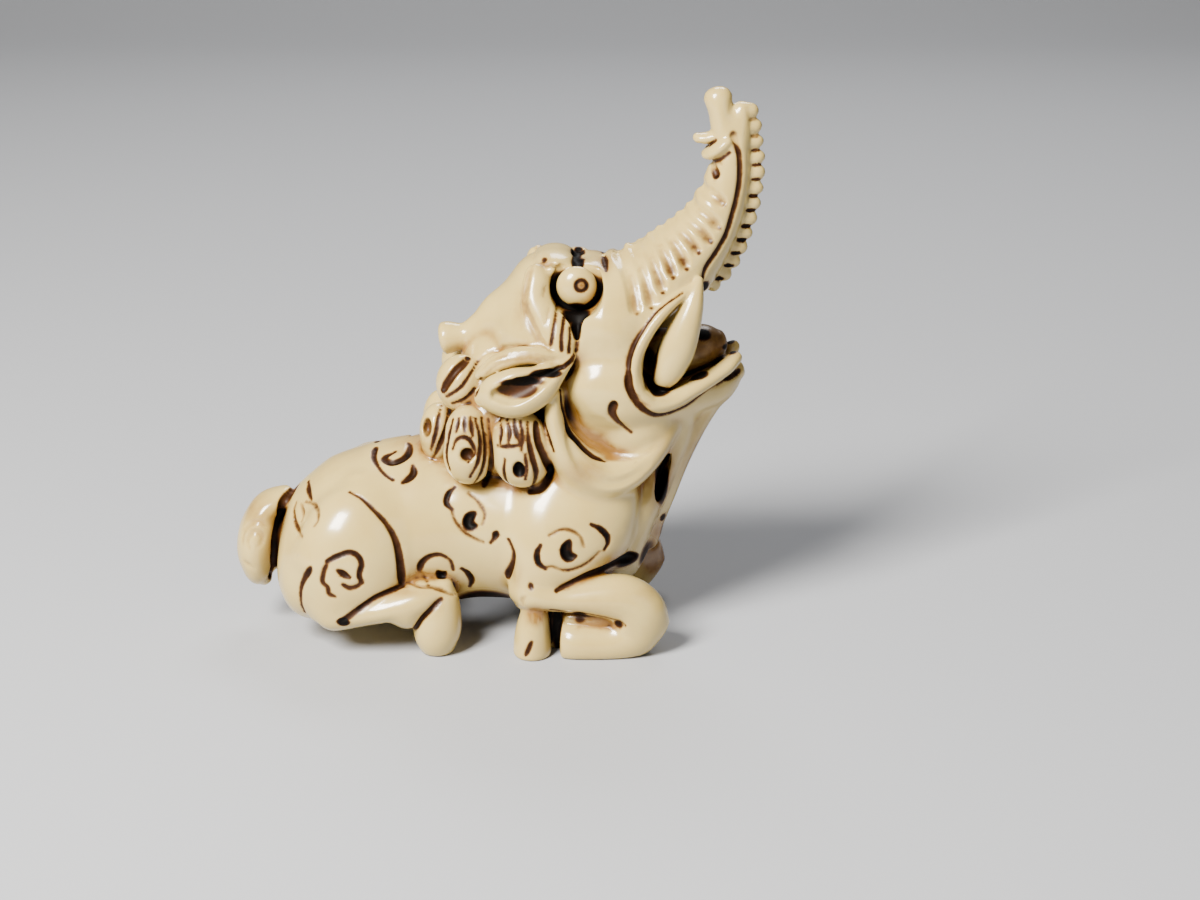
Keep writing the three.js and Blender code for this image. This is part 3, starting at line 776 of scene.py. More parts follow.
@dataclass
class Head(Part):
    """The skull with its single horn, brows, eyes and ears, the cheeks and the frill below them."""

    eye: Point = (7.2, -3.6, 31.6)
    eye_radius: float = 1.68

    def forms(self) -> list[Form]:
        """The masses of the head."""
        x, y, z = self.eye
        neck = Limb([(5.6, 0, 10.0, 6.0, 6.0), (6.6, 0, 14.5, 6.3, 7.1), (7.4, 0, 18.0, 6.0, 6.6),
                     (8.0, 0, 22.5, 5.5, 5.5)])
        throat = Limb([
            (15.6, 0, 22.0, 3.8, 2.0), (15.2, 0, 19.0, 3.6, 2.2), (14.2, 0, 15.6, 3.8, 1.9),
            (12.8, 0, 12.0, 4.4, 1.8), (11.8, 0, 9.0, 3.0, 1.4),
        ])
        brow = Limb([
            (4.2, -3.0, 32.9, 0.6, 0.7), (4.0, -3.4, 32.6, 0.8, 1.0), (3.9, -3.9, 31.8, 0.9, 1.15), (3.85, -4.5, 30.5,
                                                                                                     0.95, 1.25),
            (4.6, -5.2, 29.0, 1.0, 1.45), (5.6, -5.9, 27.6, 1.0, 1.45), (6.2, -6.3, 26.5, 0.8, 0.95), (6.7, -6.6,
                                                                                                       25.7, 0.4, 0.3),
        ])
        horn = Limb([
            (-4.05, 0, 26.2, 1.45, 1.4), (-3.5, 0, 26.3, 1.4, 1.35), (-2.2, 0, 26.5, 1.15, 1.05),
            (-0.9, 0, 27.1, 1.5, 1.4), (0.6, 0, 27.7, 2.4, 2.4), (2.6, 0, 28.2, 3.4, 3.2),
        ], dome=0.3)
        ear = Limb([
            (-0.8, -7.1, 23.1, 0.6, 0.8), (0.5, -7.5, 23.4, 1.2, 1.7), (2.3, -7.8, 23.7, 1.35, 2.1),
            (4.0, -7.7, 24.3, 1.25, 1.75), (5.3, -7.3, 25.2, 0.95, 1.1), (6.4, -6.9, 26.0, 0.6, 0.5), (7.1, -6.6,
                                                                                                       26.6, 0.3, 0.2),
        ])
        ear_hollow = Limb([
            (0.5, -8.6, 23.75, 0.6, 0.45), (1.8, -8.8, 23.95, 0.95, 1.0), (3.2, -8.8, 24.5, 0.95, 0.92),
            (4.6, -8.5, 25.2, 0.8, 0.58), (6.0, -7.9, 25.95, 0.6, 0.22),
        ], sides=24)
        wide = self.eye_radius + 0.54
        tear = Limb([
            (x + 0.05, y - 1.2, z - 1.2, 1.75, 1.2), (x, y - 1.6, z - 2.1, 1.1, 1.0), (x, y - 2.0, z - 2.9, 0.5, 0.9),
            (x + 0.05, y - 2.5, z - 3.7, 0.28, 0.6),
        ], side=(1.0, 0.0, 0.0), sides=24)
        socket = Limb([(x, y - 3.5, z, wide, wide), (x, y - 1.2, z, wide, wide), (x, y + 0.5, z, wide, wide)],
                      side=(1.0, 0.0, 0.0), dome=0.1)
        fold = Limb([
            (-0.8, -5.9, 24.6, 0.6, 0.5), (0.6, -6.4, 25.8, 0.9, 0.7), (2.5, -6.6, 26.5, 1.0, 0.75),
            (4.4, -6.7, 26.6, 0.9, 0.65), (5.9, -6.7, 26.5, 0.5, 0.3),
        ])
        cheeks = Limb([
            (7.0, 0, 23.6, 6.6, 3.0), (8.6, 0, 23.5, 7.4, 4.7), (11.2, 0, 23.2, 7.6, 5.5), (13.8, 0, 22.9, 6.9, 4.6),
            (16.0, 0, 22.6, 5.4, 3.1), (18.4, 0, 22.7, 3.6, 2.4), (20.0, 0, 23.2, 2.3, 1.7), (20.9, 0, 23.5, 0.9, 0.8),
        ], sides=64)
        face = Limb([
            (7.6, 0, 26.4, 5.6, 4.6), (10.2, 0, 28.2, 6.9, 5.3), (12.8, 0, 30.2, 5.6, 4.5), (15.5, 0, 32.7, 4.0, 3.45),
        ], sides=64)
        return [
            Form(neck.solid(), blend=1.0),
            Form(throat.solid(), blend=0.8),
            Form(pebble((6.5, 0, 27.3), (5.6, 6.2, 5.6)), blend=1.0),
            Form(pebble((4.2, 0, 27.2), (4.2, 6.2, 4.7)), blend=1.2),
            Form(pebble((4.7, 0, 30.5), (3.2, 4.3, 3.2)), blend=0.8),
            Form(cheeks.solid(), blend=1.2),
            Form(face.solid(), blend=1.2),
            Form(pebble((7.4, -2.0, 30.6), (3.3, 3.1, 2.75)), blend=0.6),
            Form(pebble((12.0, -3.4, 19.3), (3.4, 2.9, 2.3), 15), blend=0.8),
            Form(self.frill().solid(), blend=0.8),
            Form(pebble((5.35, -0.6, 32.9), (1.95, 3.3, 1.2)), blend=0.15),
            Form(pebble((8.7, -0.6, 32.4), (1.0, 2.9, 1.05)), blend=0.15),
            Form(brow.solid(), blend=0.2),
            Form(horn.solid(), blend=0.8),
            Form(fold.solid(), blend=0.3),
            Form(ear.solid(), blend=0.15),
            Form(ear_hollow.solid(), Step.HOLLOW, 0.3),
            Form(socket.solid(), Step.HOLLOW, 0.15),
            Form(tear.solid(), Step.HOLLOW, 0.15),
            Form(pebble((x, y, z), (self.eye_radius, 1.1, self.eye_radius)), Step.INSET, 0.03),
        ]

    def frill(self) -> Limb:
        """The raised fold of skin under the cheek, from below the ear to the throat."""
        return Limb([
            (5.4, -6.3, 23.4, 1.3, 0.55), (5.4, -6.5, 21.2, 1.6, 0.85), (6.0, -6.5, 18.9, 1.9, 1.3),
            (7.3, -6.4, 17.0, 2.0, 1.7), (9.2, -6.1, 16.0, 2.0, 1.75), (11.0, -5.6, 16.1, 2.0, 1.6),
            (12.6, -4.9, 16.9, 1.9, 1.3), (13.9, -4.1, 18.0, 1.7, 1.0), (15.0, -3.2, 19.2, 1.2, 0.6),
        ])

    def marks(self, burin: Burin) -> list[Mark]:
        """The lines of the brow, the ear, the cheek and the frill."""
        x, _, z = self.eye
        return [
            burin.side([(5.6, 30.1), (5.4, 29.1), (5.1, 27.5)], 0.3, 0.85, Swell.END),
            burin.side([(6.2, 29.5), (6.0, 28.2), (6.0, 27.1)], 0.3, 0.95, Swell.END),
            burin.side([(6.7, 28.7), (6.7, 27.9), (6.6, 26.9)], 0.3, 0.9, Swell.END),
            burin.side([(4.7, 31.9), (4.5, 31.1)], 0.3, 0.4),
            burin.side([(5.0, 30.3), (4.7, 29.1)], 0.26, 0.3),
            burin.side([(7.25, 28.7), (7.3, 28.0), (7.2, 26.9), (7.0, 26.2)], 0.4, 0.9, Swell.START),
            burin.near([(7.35, 1.0, 33.6), (7.35, -1.0, 33.6), (7.3, -2.2, 33.4),
                        (7.3, -3.2, 33.2)], 0.85, 1.0, Swell.EVEN),
            burin.near([(9.6, -0.3, 33.0), (9.6, -2.0, 33.0), (9.6, -3.2, 32.6)], 0.45, 0.9),
            burin.near([(4.4, -2.6, 33.9), (4.6, -3.0, 33.6)], 0.4, 0.8),
            burin.near([(3.6, -2.8, 33.4), (4.6, -3.3, 33.2), (6.0, -3.3, 33.3)], 0.5, 0.4, lift=0.3),
            burin.side([(3.7, 33.7), (3.2, 32.4), (2.9, 30.6), (3.4, 29.3), (4.2, 27.9),
                        (5.2, 27.0)], 0.8, 0.35, lift=0.5, halo=1.5),
            burin.side([(2.3, 25.1), (3.9, 25.15), (5.1, 25.4), (6.0, 25.8), (6.8, 26.3),
                        (7.2, 26.9)], 0.34, 1.0, Swell.EVEN),
            burin.near([(-0.5, -6.7, 25.4), (0.6, -7.0, 26.4), (2.2, -7.4, 26.9), (4.3, -7.5, 26.9),
                        (5.5, -7.3, 26.4)], 0.32, 0.3),
            burin.near([(-0.2, -6.9, 25.0), (0.8, -7.4, 26.0), (2.2, -7.6, 26.5), (4.3, -7.6, 26.5),
                        (5.5, -7.6, 26.1)], 0.32, 0.3),
            burin.near([(-1.0, -4.0, 25.3), (0.2, -3.8, 26.1), (1.9, -5.2, 26.9), (3.8, -6.7, 27.3)], 0.4, 0.3),
            burin.side([(7.1, 26.1), (6.7, 25.2), (6.3, 24.3)], 0.5, 0.9),
            burin.side([(5.9, 23.6), (6.1, 22.0), (6.6, 20.3), (7.5, 19.0), (8.5, 18.1), (9.5, 17.6)],
                       0.75, 1.0, Swell.MIDDLE),
            burin.side([(9.3, 17.7), (10.8, 17.6), (12.4, 17.8), (13.7, 18.5)], 0.9, 0.3, Swell.START, lift=0.6),
            burin.side([(6.3, 21.1), (6.7, 19.3), (7.5, 17.7), (8.5, 16.6), (9.7, 16.0), (10.9, 16.0), (12.2, 16.6),
                        (13.3, 17.4)],
                       1.9, 0.1, lift=0.7, halo=1.1),
            burin.side([(10.3, 22.8), (10.1, 21.9), (10.5, 21.1), (11.2, 20.3),
                        (11.7, 19.9)], 0.85, 1.0, Swell.START, halo=1.1),
            burin.side(arc(x + 0.4, z + 0.3, 0.46, 60, 420, 9), 0.26, 0.95, Swell.EVEN),
        ]

    def stains_and_shades(self) -> list[StainAndShade]:
        """The ear's hollow and the socket."""
        x, y, z = self.eye
        return [
            StainAndShade((2.7, -8.2, 24.75), (2.0, 0.85, 0.5), 1.0),
            StainAndShade((4.6, -7.9, 25.4), (1.5, 0.85, 0.42), 1.0),
            StainAndShade((2.4, -8.2, 24.1), (2.0, 0.85, 0.85), 0.62),
            StainAndShade((x, y - 0.9, z - 2.1), (1.2, 1.6, 0.9), 1.0),
            StainAndShade((x, y - 1.6, z - 2.9), (0.5, 1.4, 0.9), 1.0),
        ]

    def warmths_and_shades(self) -> list[WarmthAndShade]:
        """Where the stain has tinted the folds of the head, and the side of the throat, which has patina and painted
        shade.
        """
        x, y, z = self.eye
        return [
            WarmthAndShade((2.8, -4.0, 29.5), (1.2, 3.0, 2.4), 0.6),
            WarmthAndShade((3.4, -7.2, 26.4), (3.2, 1.6, 0.8), 0.7),
            WarmthAndShade((7.8, -8.0, 17.0), (2.8, 2.0, 1.6), 0.7),
            WarmthAndShade((9.4, -2.6, 33.4), (1.4, 2.4, 1.2), 0.8),
            WarmthAndShade((4.6, -3.4, 33.6), (1.2, 1.6, 0.9), 0.6),
            WarmthAndShade((-1.6, -0.6, 25.6), (1.6, 2.0, 0.8), 0.7),
            WarmthAndShade((x + 0.4, y - 1.1, z + 0.3), (0.4, 0.8, 0.4), 1.4),
            # The side of the throat: patina, and the shade that lies there painted honey-brown.
            WarmthAndShade((14.4, -3.8, 15.8), (1.9, 3.0, 5.5), 1.0),
        ]


@dataclass
class Mouth(Part):
    """The open mouth: lips, tusks, tongue and the beard that hangs from the chin."""

    def forms(self) -> list[Form]:
        """The opening and what stands in it."""
        opening = [
            (15.6, 31.0), (14.6, 30.2), (13.6, 28.8), (12.75, 26.6), (12.55, 24.9), (12.8, 23.7), (13.7, 23.0), (14.9,
                                                                                                                 23.0),
            (16.6, 23.6), (21.5, 25.6), (24.0, 28.0), (20.4, 31.4), (18.6, 30.6), (17.0, 30.6),
        ]
        palate = Limb([(12.4, 0, 28.0, 3.2, 1.6), (14.2, 0, 29.4, 3.0, 1.4), (16.0, 0, 30.6, 2.4, 1.1)])
        tongue = Limb([
            (12.6, 0, 24.6, 3.0, 2.2), (14.6, 0, 24.8, 2.8, 2.2), (16.6, 0, 25.2, 2.4, 2.2),
            (18.2, 0, 25.7, 2.0, 1.75), (19.2, 0, 25.9, 1.3, 1.1),
        ])
        lip = Limb([
            (16.6, -4.0, 31.5, 0.5, 0.35), (14.9, -5.0, 30.5, 0.8, 0.5), (13.3, -5.6, 28.8, 1.0, 0.6),
            (12.2, -6.1, 26.9, 1.1, 0.65), (11.85, -6.3, 25.1, 1.2, 0.65), (12.15, -6.3, 23.4, 1.2, 0.65),
            (13.3, -6.0, 22.3, 1.2, 0.65), (15.0, -5.4, 22.3, 1.1, 0.65), (16.8, -4.4, 23.0, 1.0, 0.65),
            (18.4, -3.3, 23.7, 0.95, 0.65), (19.7, -2.4, 24.4, 0.9, 0.65), (20.5, -1.5, 25.0, 0.75, 0.6),
        ])
        tusk = Limb([
            (14.3, -4.5, 23.2, 0.6, 0.4), (14.55, -4.7, 24.3, 1.2, 1.2), (15.4, -4.8, 26.4, 1.35, 1.52),
            (16.15, -4.7, 28.5, 1.2, 1.27), (16.7, -4.4, 30.2, 1.0, 0.95), (17.05, -4.0, 31.5, 0.7, 0.6), (17.3, -3.7,
                                                                                                           32.3, 0.35, 0.3),
        ])
        beard = Limb([
            (19.0, 0, 22.0, 2.0, 1.2), (17.4, 0, 19.0, 2.1, 1.0), (15.9, 0, 15.7, 2.0, 0.95),
            (14.8, 0, 12.5, 1.8, 0.85), (13.6, 0, 9.4, 1.4, 0.8), (13.0, 0, 8.2, 0.6, 0.5),
        ])
        return [
            Form(beard.solid(), blend=0.4),
            Form(prism(opening, 11.0), Step.HOLLOW, 0.4),
            Form(pebble((14.3, -3.0, 14.9), (0.5, 1.3, 2.5), -15), Step.HOLLOW, 0.3),
            Form(palate.solid(), Step.INSET, 0.3),
            Form(tongue.solid(), Step.INSET, 0.3),
            Form(lip.solid(), Step.INSET, 0.3),
            Form(tusk.solid(), Step.INSET, 0.15),
        ]

    def marks(self, burin: Burin) -> list[Mark]:
        """The groove round the lips and the slit at the chin."""
        return [
            burin.side([(15.8, 31.4), (14.7, 30.8), (13.6, 29.9), (12.7, 28.8), (12.0, 27.7), (11.5, 26.4),
                        (11.4, 25.3)],
                       0.6, 1.0, Swell.END, halo=1.15),
            burin.side([(11.4, 25.6), (11.5, 24.2), (11.9, 23.2), (12.6, 22.2), (13.7, 21.4), (14.9, 21.3),
                        (16.2, 21.7), (17.2, 22.3), (18.3, 22.9), (19.3, 23.2)], 0.72, 1.0, Swell.START, halo=1.15),
            burin.side([(19.4, 23.5), (20.0, 23.5), (20.8, 23.6)], 0.5, 0.95, Swell.EVEN),
            burin.side([(12.3, 23.4), (12.6, 22.8), (13.2, 22.4)], 0.3, 0.4),
        ]

    def stains_and_shades(self) -> list[StainAndShade]:
        """The corner of the mouth, the holes round the tongue and the slot behind the beard."""
        return [
            StainAndShade((13.2, -4.2, 26.4), (0.9, 2.0, 3.2), 1.0),
            StainAndShade((13.8, -4.4, 23.2), (1.3, 2.4, 0.5), 1.0),
            StainAndShade((17.8, -1.6, 27.2), (0.9, 0.8, 0.8), 1.0),
            StainAndShade((16.8, -3.6, 24.1), (1.4, 1.2, 0.5), 1.0),
            StainAndShade((20.0, -1.6, 25.7), (0.7, 1.4, 0.4), 1.0),
            StainAndShade((14.0, -3.6, 28.9), (0.9, 1.4, 0.9), 0.75),
            StainAndShade((14.3, -3.0, 14.9), (0.65, 1.7, 2.6), 1.0),
            StainAndShade((17.8, 0.0, 25.6), (2.8, 3.2, 2.2), 0.4),
            StainAndShade((14.6, -1.8, 10.6), (0.4, 0.8, 0.5), 0.8),
        ]

    def warmths_and_shades(self) -> list[WarmthAndShade]:
        """The tongue and the beard, the warmest parts of the beast; the beard, which hangs in shade, is partly painted
        shade.
        """
        return [
            WarmthAndShade((17.6, 0.0, 25.6), (4.0, 3.4, 2.6), 1.3),
            WarmthAndShade((14.4, -2.0, 29.6), (2.4, 3.0, 1.6), 1.0),
            # The beard and where it meets the chest: its tint, and painted shade.
            WarmthAndShade((17.0, 0.0, 17.0), (3.4, 3.4, 6.0), 0.95),
            WarmthAndShade((14.0, 0.0, 9.5), (2.0, 4.0, 2.6), 1.0),
        ]


@dataclass
class Trunk(Part):
    """The raised trunk: ribbed on the back, grooved on the side, with a crest of beads in front."""

    rows: list[Row] = field(default_factory=lambda: [
        (12.8, 0, 30.0, 5.3, 4.1), (14.2, 0, 31.4, 4.6, 3.75), (15.4, 0, 32.7, 4.0, 3.4), (16.9, 0, 34.4, 3.3, 3.1),
        (18.2, 0, 36.2, 2.7, 2.6), (19.2, 0, 38.3, 2.25, 2.15), (19.75, 0, 40.4, 1.9, 1.8), (19.95, 0, 42.0, 1.7, 1.55),
        (20.0, 0, 43.4, 1.5, 1.45), (19.95, 0, 44.9, 1.1, 1.3),
    ])

    def forms(self) -> list[Form]:
        """The trunk and its split tip: a finger, a curled prong and the end of the crest."""
        finger = Limb([
            (19.5, 0, 42.6, 1.3, 0.9), (19.15, 0, 44.2, 1.3, 0.95), (18.95, 0, 45.5, 1.3, 1.0), (18.75, 0, 46.6, 1.15,
                                                                                                 1.2),
        ], dome=0.75)
        strip = Limb([(20.6, 0, 42.8, 1.2, 0.85), (20.7, 0, 44.4, 1.1, 0.8), (20.7, 0, 45.7, 0.9, 0.7)], dome=0.8)
        prong = Limb([(19.0, 0, 43.5, 0.9, 0.6), (18.1, 0, 43.25, 0.9, 0.5), (17.3, 0, 43.2, 0.75, 0.45),
                      (16.95, 0, 43.35, 0.5, 0.35)])
        roll = Limb([
            (20.0, 0, 43.5, 1.6, 0.5), (19.4, 0, 43.0, 1.9, 0.68), (18.7, 0, 42.4, 1.85, 0.68),
            (18.1, 0, 41.95, 1.4, 0.6), (17.7, 0, 41.8, 0.8, 0.4),
        ])
        return [
            Form(Limb(self.rows, sides=64).solid(), blend=1.0),
            Form(finger.solid(), blend=0.5),
            Form(pebble((20.1, 0, 44.7), (1.1, 0.85, 1.15)), blend=0.3),
            Form(strip.solid(), blend=0.3),
            Form(prong.solid(), blend=0.2),
            Form(roll.solid(), blend=0.1),
        ]

    def marks(self, burin: Burin) -> list[Mark]:
        """The ribs, and the long groove beside the crest."""
        ribs = [
            [(10.7, 0.0, 33.9), (11.1, -2.9, 33.5), (11.7, -4.6, 32.3), (12.1, -5.9, 29.9)],
            [(11.8, 0.0, 34.4), (12.1, -2.9, 33.9), (12.8, -4.7, 32.4), (13.3, -5.5, 30.3)],
            [(12.6, 0.0, 35.0), (13.0, -2.7, 34.5), (13.7, -4.2, 33.0), (14.2, -4.8, 31.4)],
            [(13.4, 0.0, 35.7), (13.8, -2.4, 35.1), (14.6, -3.7, 33.8), (15.1, -4.3, 32.5)],
            [(14.2, 0.0, 36.3), (14.6, -2.1, 35.7), (15.5, -3.3, 34.6), (16.2, -3.8, 33.1)],
            [(15.0, 0.0, 36.9), (15.4, -1.9, 36.3), (16.4, -2.8, 35.3), (17.2, -3.1, 34.3)],
            [(15.8, 0.0, 37.6), (16.1, -1.7, 37.0), (17.2, -2.6, 36.2), (18.2, -2.7, 35.1)],
            [(16.5, 0.0, 38.4), (16.8, -1.5, 37.8), (17.9, -2.3, 37.1), (18.9, -2.4, 36.2)],
            [(17.3, 0.0, 39.7), (17.6, -1.0, 39.2), (18.4, -1.8, 38.8), (19.3, -2.2, 38.1)],
        ]
        made = []
        for i, rib in enumerate(ribs):
            wide = 1.15 - 0.03 * i
            made.append(burin.near(rib, 1.3 * wide, 0.12, Swell.EVEN, 0.35, 0.8))
            made.append(burin.near(rib, 0.72 * wide, 0.74 - 0.05 * abs(i - 4), Swell.RIB, 0.0, 1.35))
        made.append(burin.near([(18.2, 0.0, 41.4), (18.4, -0.8, 41.1), (18.5, -1.3, 40.7),
                                (18.7, -1.6, 40.3)], 0.85, 0.9, Swell.RIB, 0.1, 1.1))
        made.append(burin.near([(18.7, -1.0, 41.5), (19.1, -1.5, 41.3)], 0.35, 0.4))
        made.append(burin.side([(19.9, 43.9), (20.3, 43.0), (20.55, 42.0)], 0.9, 0.55, Swell.START, 0.1, 1.0))
        made.append(burin.side([(20.1, 43.2), (20.5, 42.1), (20.6, 40.5), (20.4, 38.8), (20.0, 37.2), (19.5, 35.6),
                                (18.7, 34.2), (17.9, 33.1), (17.6, 32.2)], 0.5, 0.9, Swell.EVEN, 0.0, 1.1))
        made.append(burin.side([(17.3, 42.8), (17.9, 42.6), (18.6, 43.2)], 0.3, 0.8))
        made.append(burin.side([(19.7, 42.3), (18.8, 41.6), (18.1, 41.4), (17.6, 41.5)], 0.5, 0.85, Swell.END))
        return made

    def crest(self) -> np.ndarray:
        """The line of the beads down the trunk's front."""
        points = even_line([(21.2, 45.4), (21.5, 44.2), (21.7, 42.6), (21.85, 41.0), (21.75, 39.3), (21.5, 37.6),
                            (21.1, 36.0), (20.6, 34.4), (19.9, 32.9), (19.0, 31.6), (18.4, 31.1)], 0.2)
        return np.stack([points[:, 0], np.zeros(len(points)), points[:, 1]], 1)

    def stains_and_shades(self) -> list[StainAndShade]:
        """The folds of the trunk's tip."""
        crest = self.crest()
        gaps = np.linspace(0, len(crest) - 1, 2 * BEADS - 1)[1::2]
        made = [StainAndShade((17.7, -1.0, 31.4), (0.5, 3.0, 0.6), 1.0)]
        for i, place in enumerate(gaps):
            x, _, z = crest[int(round(place))]
            made.append(StainAndShade((x + 0.15, 0.0, z), (0.5, 1.3, 0.22), 0.4 + 0.55 * min(1.0, i / 8)))
        return made

    def warmths_and_shades(self) -> list[WarmthAndShade]:
        """The ribs, where the stain was rubbed in."""
        return [WarmthAndShade((13.0, -2.0, 34.0), (4.0, 3.0, 1.8), 0.35), WarmthAndShade((17.5, -1.0, 39.0), (2.0, 2.0, 3.0), 0.3)]


@dataclass
class Mane(Part):
    """The curled mane behind the ear: four locks on each side, each curled round a hollow."""

    def forms(self) -> list[Form]:
        """The mane's mass, its locks and the hollows of their curls."""
        mass = Limb([
            (1.6, 0, 26.4, 3.4, 2.4), (0.8, 0, 24.4, 5.2, 3.4), (0.7, 0, 21.5, 6.6, 4.3),
            (0.7, 0, 18.6, 7.0, 4.4), (1.0, 0, 16.6, 6.4, 3.6), (1.2, 0, 15.4, 4.4, 2.2),
        ])
        return [
            Form(mass.solid(), blend=0.5),
            Form(pebble((-2.4, -3.6, 23.3), (2.15, 2.0, 2.45)), blend=0.2),
            Form(pebble((-4.5, -2.0, 18.5), (1.65, 2.1, 2.6)), blend=0.2),
            Form(pebble((-1.8, -5.8, 19.6), (1.9, 2.0, 2.4)), blend=0.2),
            Form(pebble((-1.8, -6.0, 17.9), (2.1, 2.0, 2.6)), blend=0.4),
            Form(pebble((2.5, -6.6, 19.4), (2.3, 2.0, 2.4)), blend=0.2),
            Form(pebble((2.7, -6.7, 18.0), (2.45, 2.0, 2.75)), blend=0.4),
            Form(pebble((-5.4, -3.4, 19.4), (0.45, 0.8, 0.8)), Step.HOLLOW, 0.2),
            Form(pebble((-1.8, -8.0, 18.4), (0.62, 0.8, 0.62)), Step.HOLLOW, 0.2),
            Form(pebble((2.45, -8.7, 17.3), (0.5, 0.8, 0.8)), Step.HOLLOW, 0.2),
        ]

    def marks(self, burin: Burin) -> list[Mark]:
        """The strands of every lock, and the gaps between the locks."""
        strand = {"ink": 0.95, "lift": 0.05, "halo": 1.15}
        lines = [
            ([(-3.9, 23.1), (-3.4, 24.0), (-2.8, 24.8), (-1.8, 25.6)], 0.85, Swell.EVEN),
            ([(-3.6, 22.6), (-2.4, 23.5), (-1.6, 24.5), (-1.0, 25.3)], 0.32, Swell.MIDDLE),
            ([(-3.1, 22.0), (-1.9, 22.6), (-1.0, 23.6), (-0.6, 24.6)], 0.36, Swell.MIDDLE),
            ([(-4.2, 21.0), (-4.4, 20.3), (-4.6, 19.2), (-5.1, 17.5)], 0.42, Swell.MIDDLE),
            ([(-3.6, 20.6), (-3.8, 19.3), (-4.4, 17.8), (-5.0, 16.6)], 0.5, Swell.MIDDLE),
            ([(-3.0, 21.1), (-3.4, 19.6), (-3.6, 18.1), (-3.3, 16.9)], 0.5, Swell.MIDDLE),
            ([(-2.5, 21.3), (-2.7, 20.3)], 0.42, Swell.MIDDLE),
            ([(-2.0, 21.4), (-2.0, 20.4)], 0.42, Swell.MIDDLE),
            ([(-1.5, 21.4), (-1.3, 20.0)], 0.45, Swell.MIDDLE),
            ([(-1.1, 21.3), (-0.7, 19.6), (-0.9, 17.8), (-1.6, 16.4)], 0.42, Swell.MIDDLE),
            ([(-0.6, 21.2), (-0.3, 19.0), (-0.5, 17.2), (-1.3, 15.5)], 0.42, Swell.MIDDLE),
            ([(-3.0, 18.8), (-2.7, 19.6), (-2.0, 19.9), (-1.4, 19.4), (-1.2, 18.5), (-1.7, 17.8)], 0.42, Swell.MIDDLE),
            ([(-0.1, 21.1), (0.1, 19.4), (0.2, 17.7), (-0.2, 16.0), (-0.6, 14.9)], 0.85, Swell.END),
            ([(0.9, 21.1), (1.0, 20.4), (0.9, 19.5)], 0.45, Swell.MIDDLE),
            ([(1.5, 21.3), (1.7, 20.5), (1.6, 19.6)], 0.45, Swell.MIDDLE),
            ([(2.1, 21.4), (2.2, 20.7), (2.5, 19.8)], 0.5, Swell.MIDDLE),
            ([(2.6, 21.3), (2.8, 20.3), (2.7, 19.1)], 0.42, Swell.MIDDLE),
            ([(0.7, 19.2), (1.5, 19.3), (2.6, 19.5)], 0.38, Swell.MIDDLE),
            ([(3.2, 21.2), (3.3, 19.9), (3.6, 18.4), (3.9, 16.9), (3.5, 15.1)], 0.55, Swell.MIDDLE),
            ([(3.9, 21.0), (4.1, 19.6), (4.6, 18.2), (5.0, 16.6), (4.4, 15.3), (3.3, 14.8)], 0.8, Swell.EVEN),
            ([(4.6, 20.9), (4.9, 19.9), (5.3, 18.8)], 0.42, Swell.MIDDLE),
            ([(1.3, 18.2), (1.2, 17.0), (1.5, 15.8), (2.5, 15.2)], 0.38, Swell.MIDDLE),
            ([(3.0, 18.7), (3.1, 17.5), (3.0, 16.4)], 0.38, Swell.MIDDLE),
        ]
        return [burin.side(line, 0.85 * width, swell=swell, **strand) for line, width, swell in lines]

    def stains_and_shades(self) -> list[StainAndShade]:
        """The hollows of the curls."""
        return [
            StainAndShade((-5.4, -3.4, 19.4), (0.5, 0.9, 0.85), 0.75),
            StainAndShade((-1.8, -7.6, 18.4), (0.62, 0.7, 0.62), 0.7),
            StainAndShade((2.5, -8.2, 17.3), (0.6, 0.8, 0.75), 0.95),
        ]

    def warmths_and_shades(self) -> list[WarmthAndShade]:
        """The roots of the locks."""
        return [WarmthAndShade((1.0, -7.6, 20.6), (5.0, 2.0, 1.4), 0.6), WarmthAndShade((-4.6, -3.6, 17.6), (2.0, 2.0, 2.0), 0.5)]


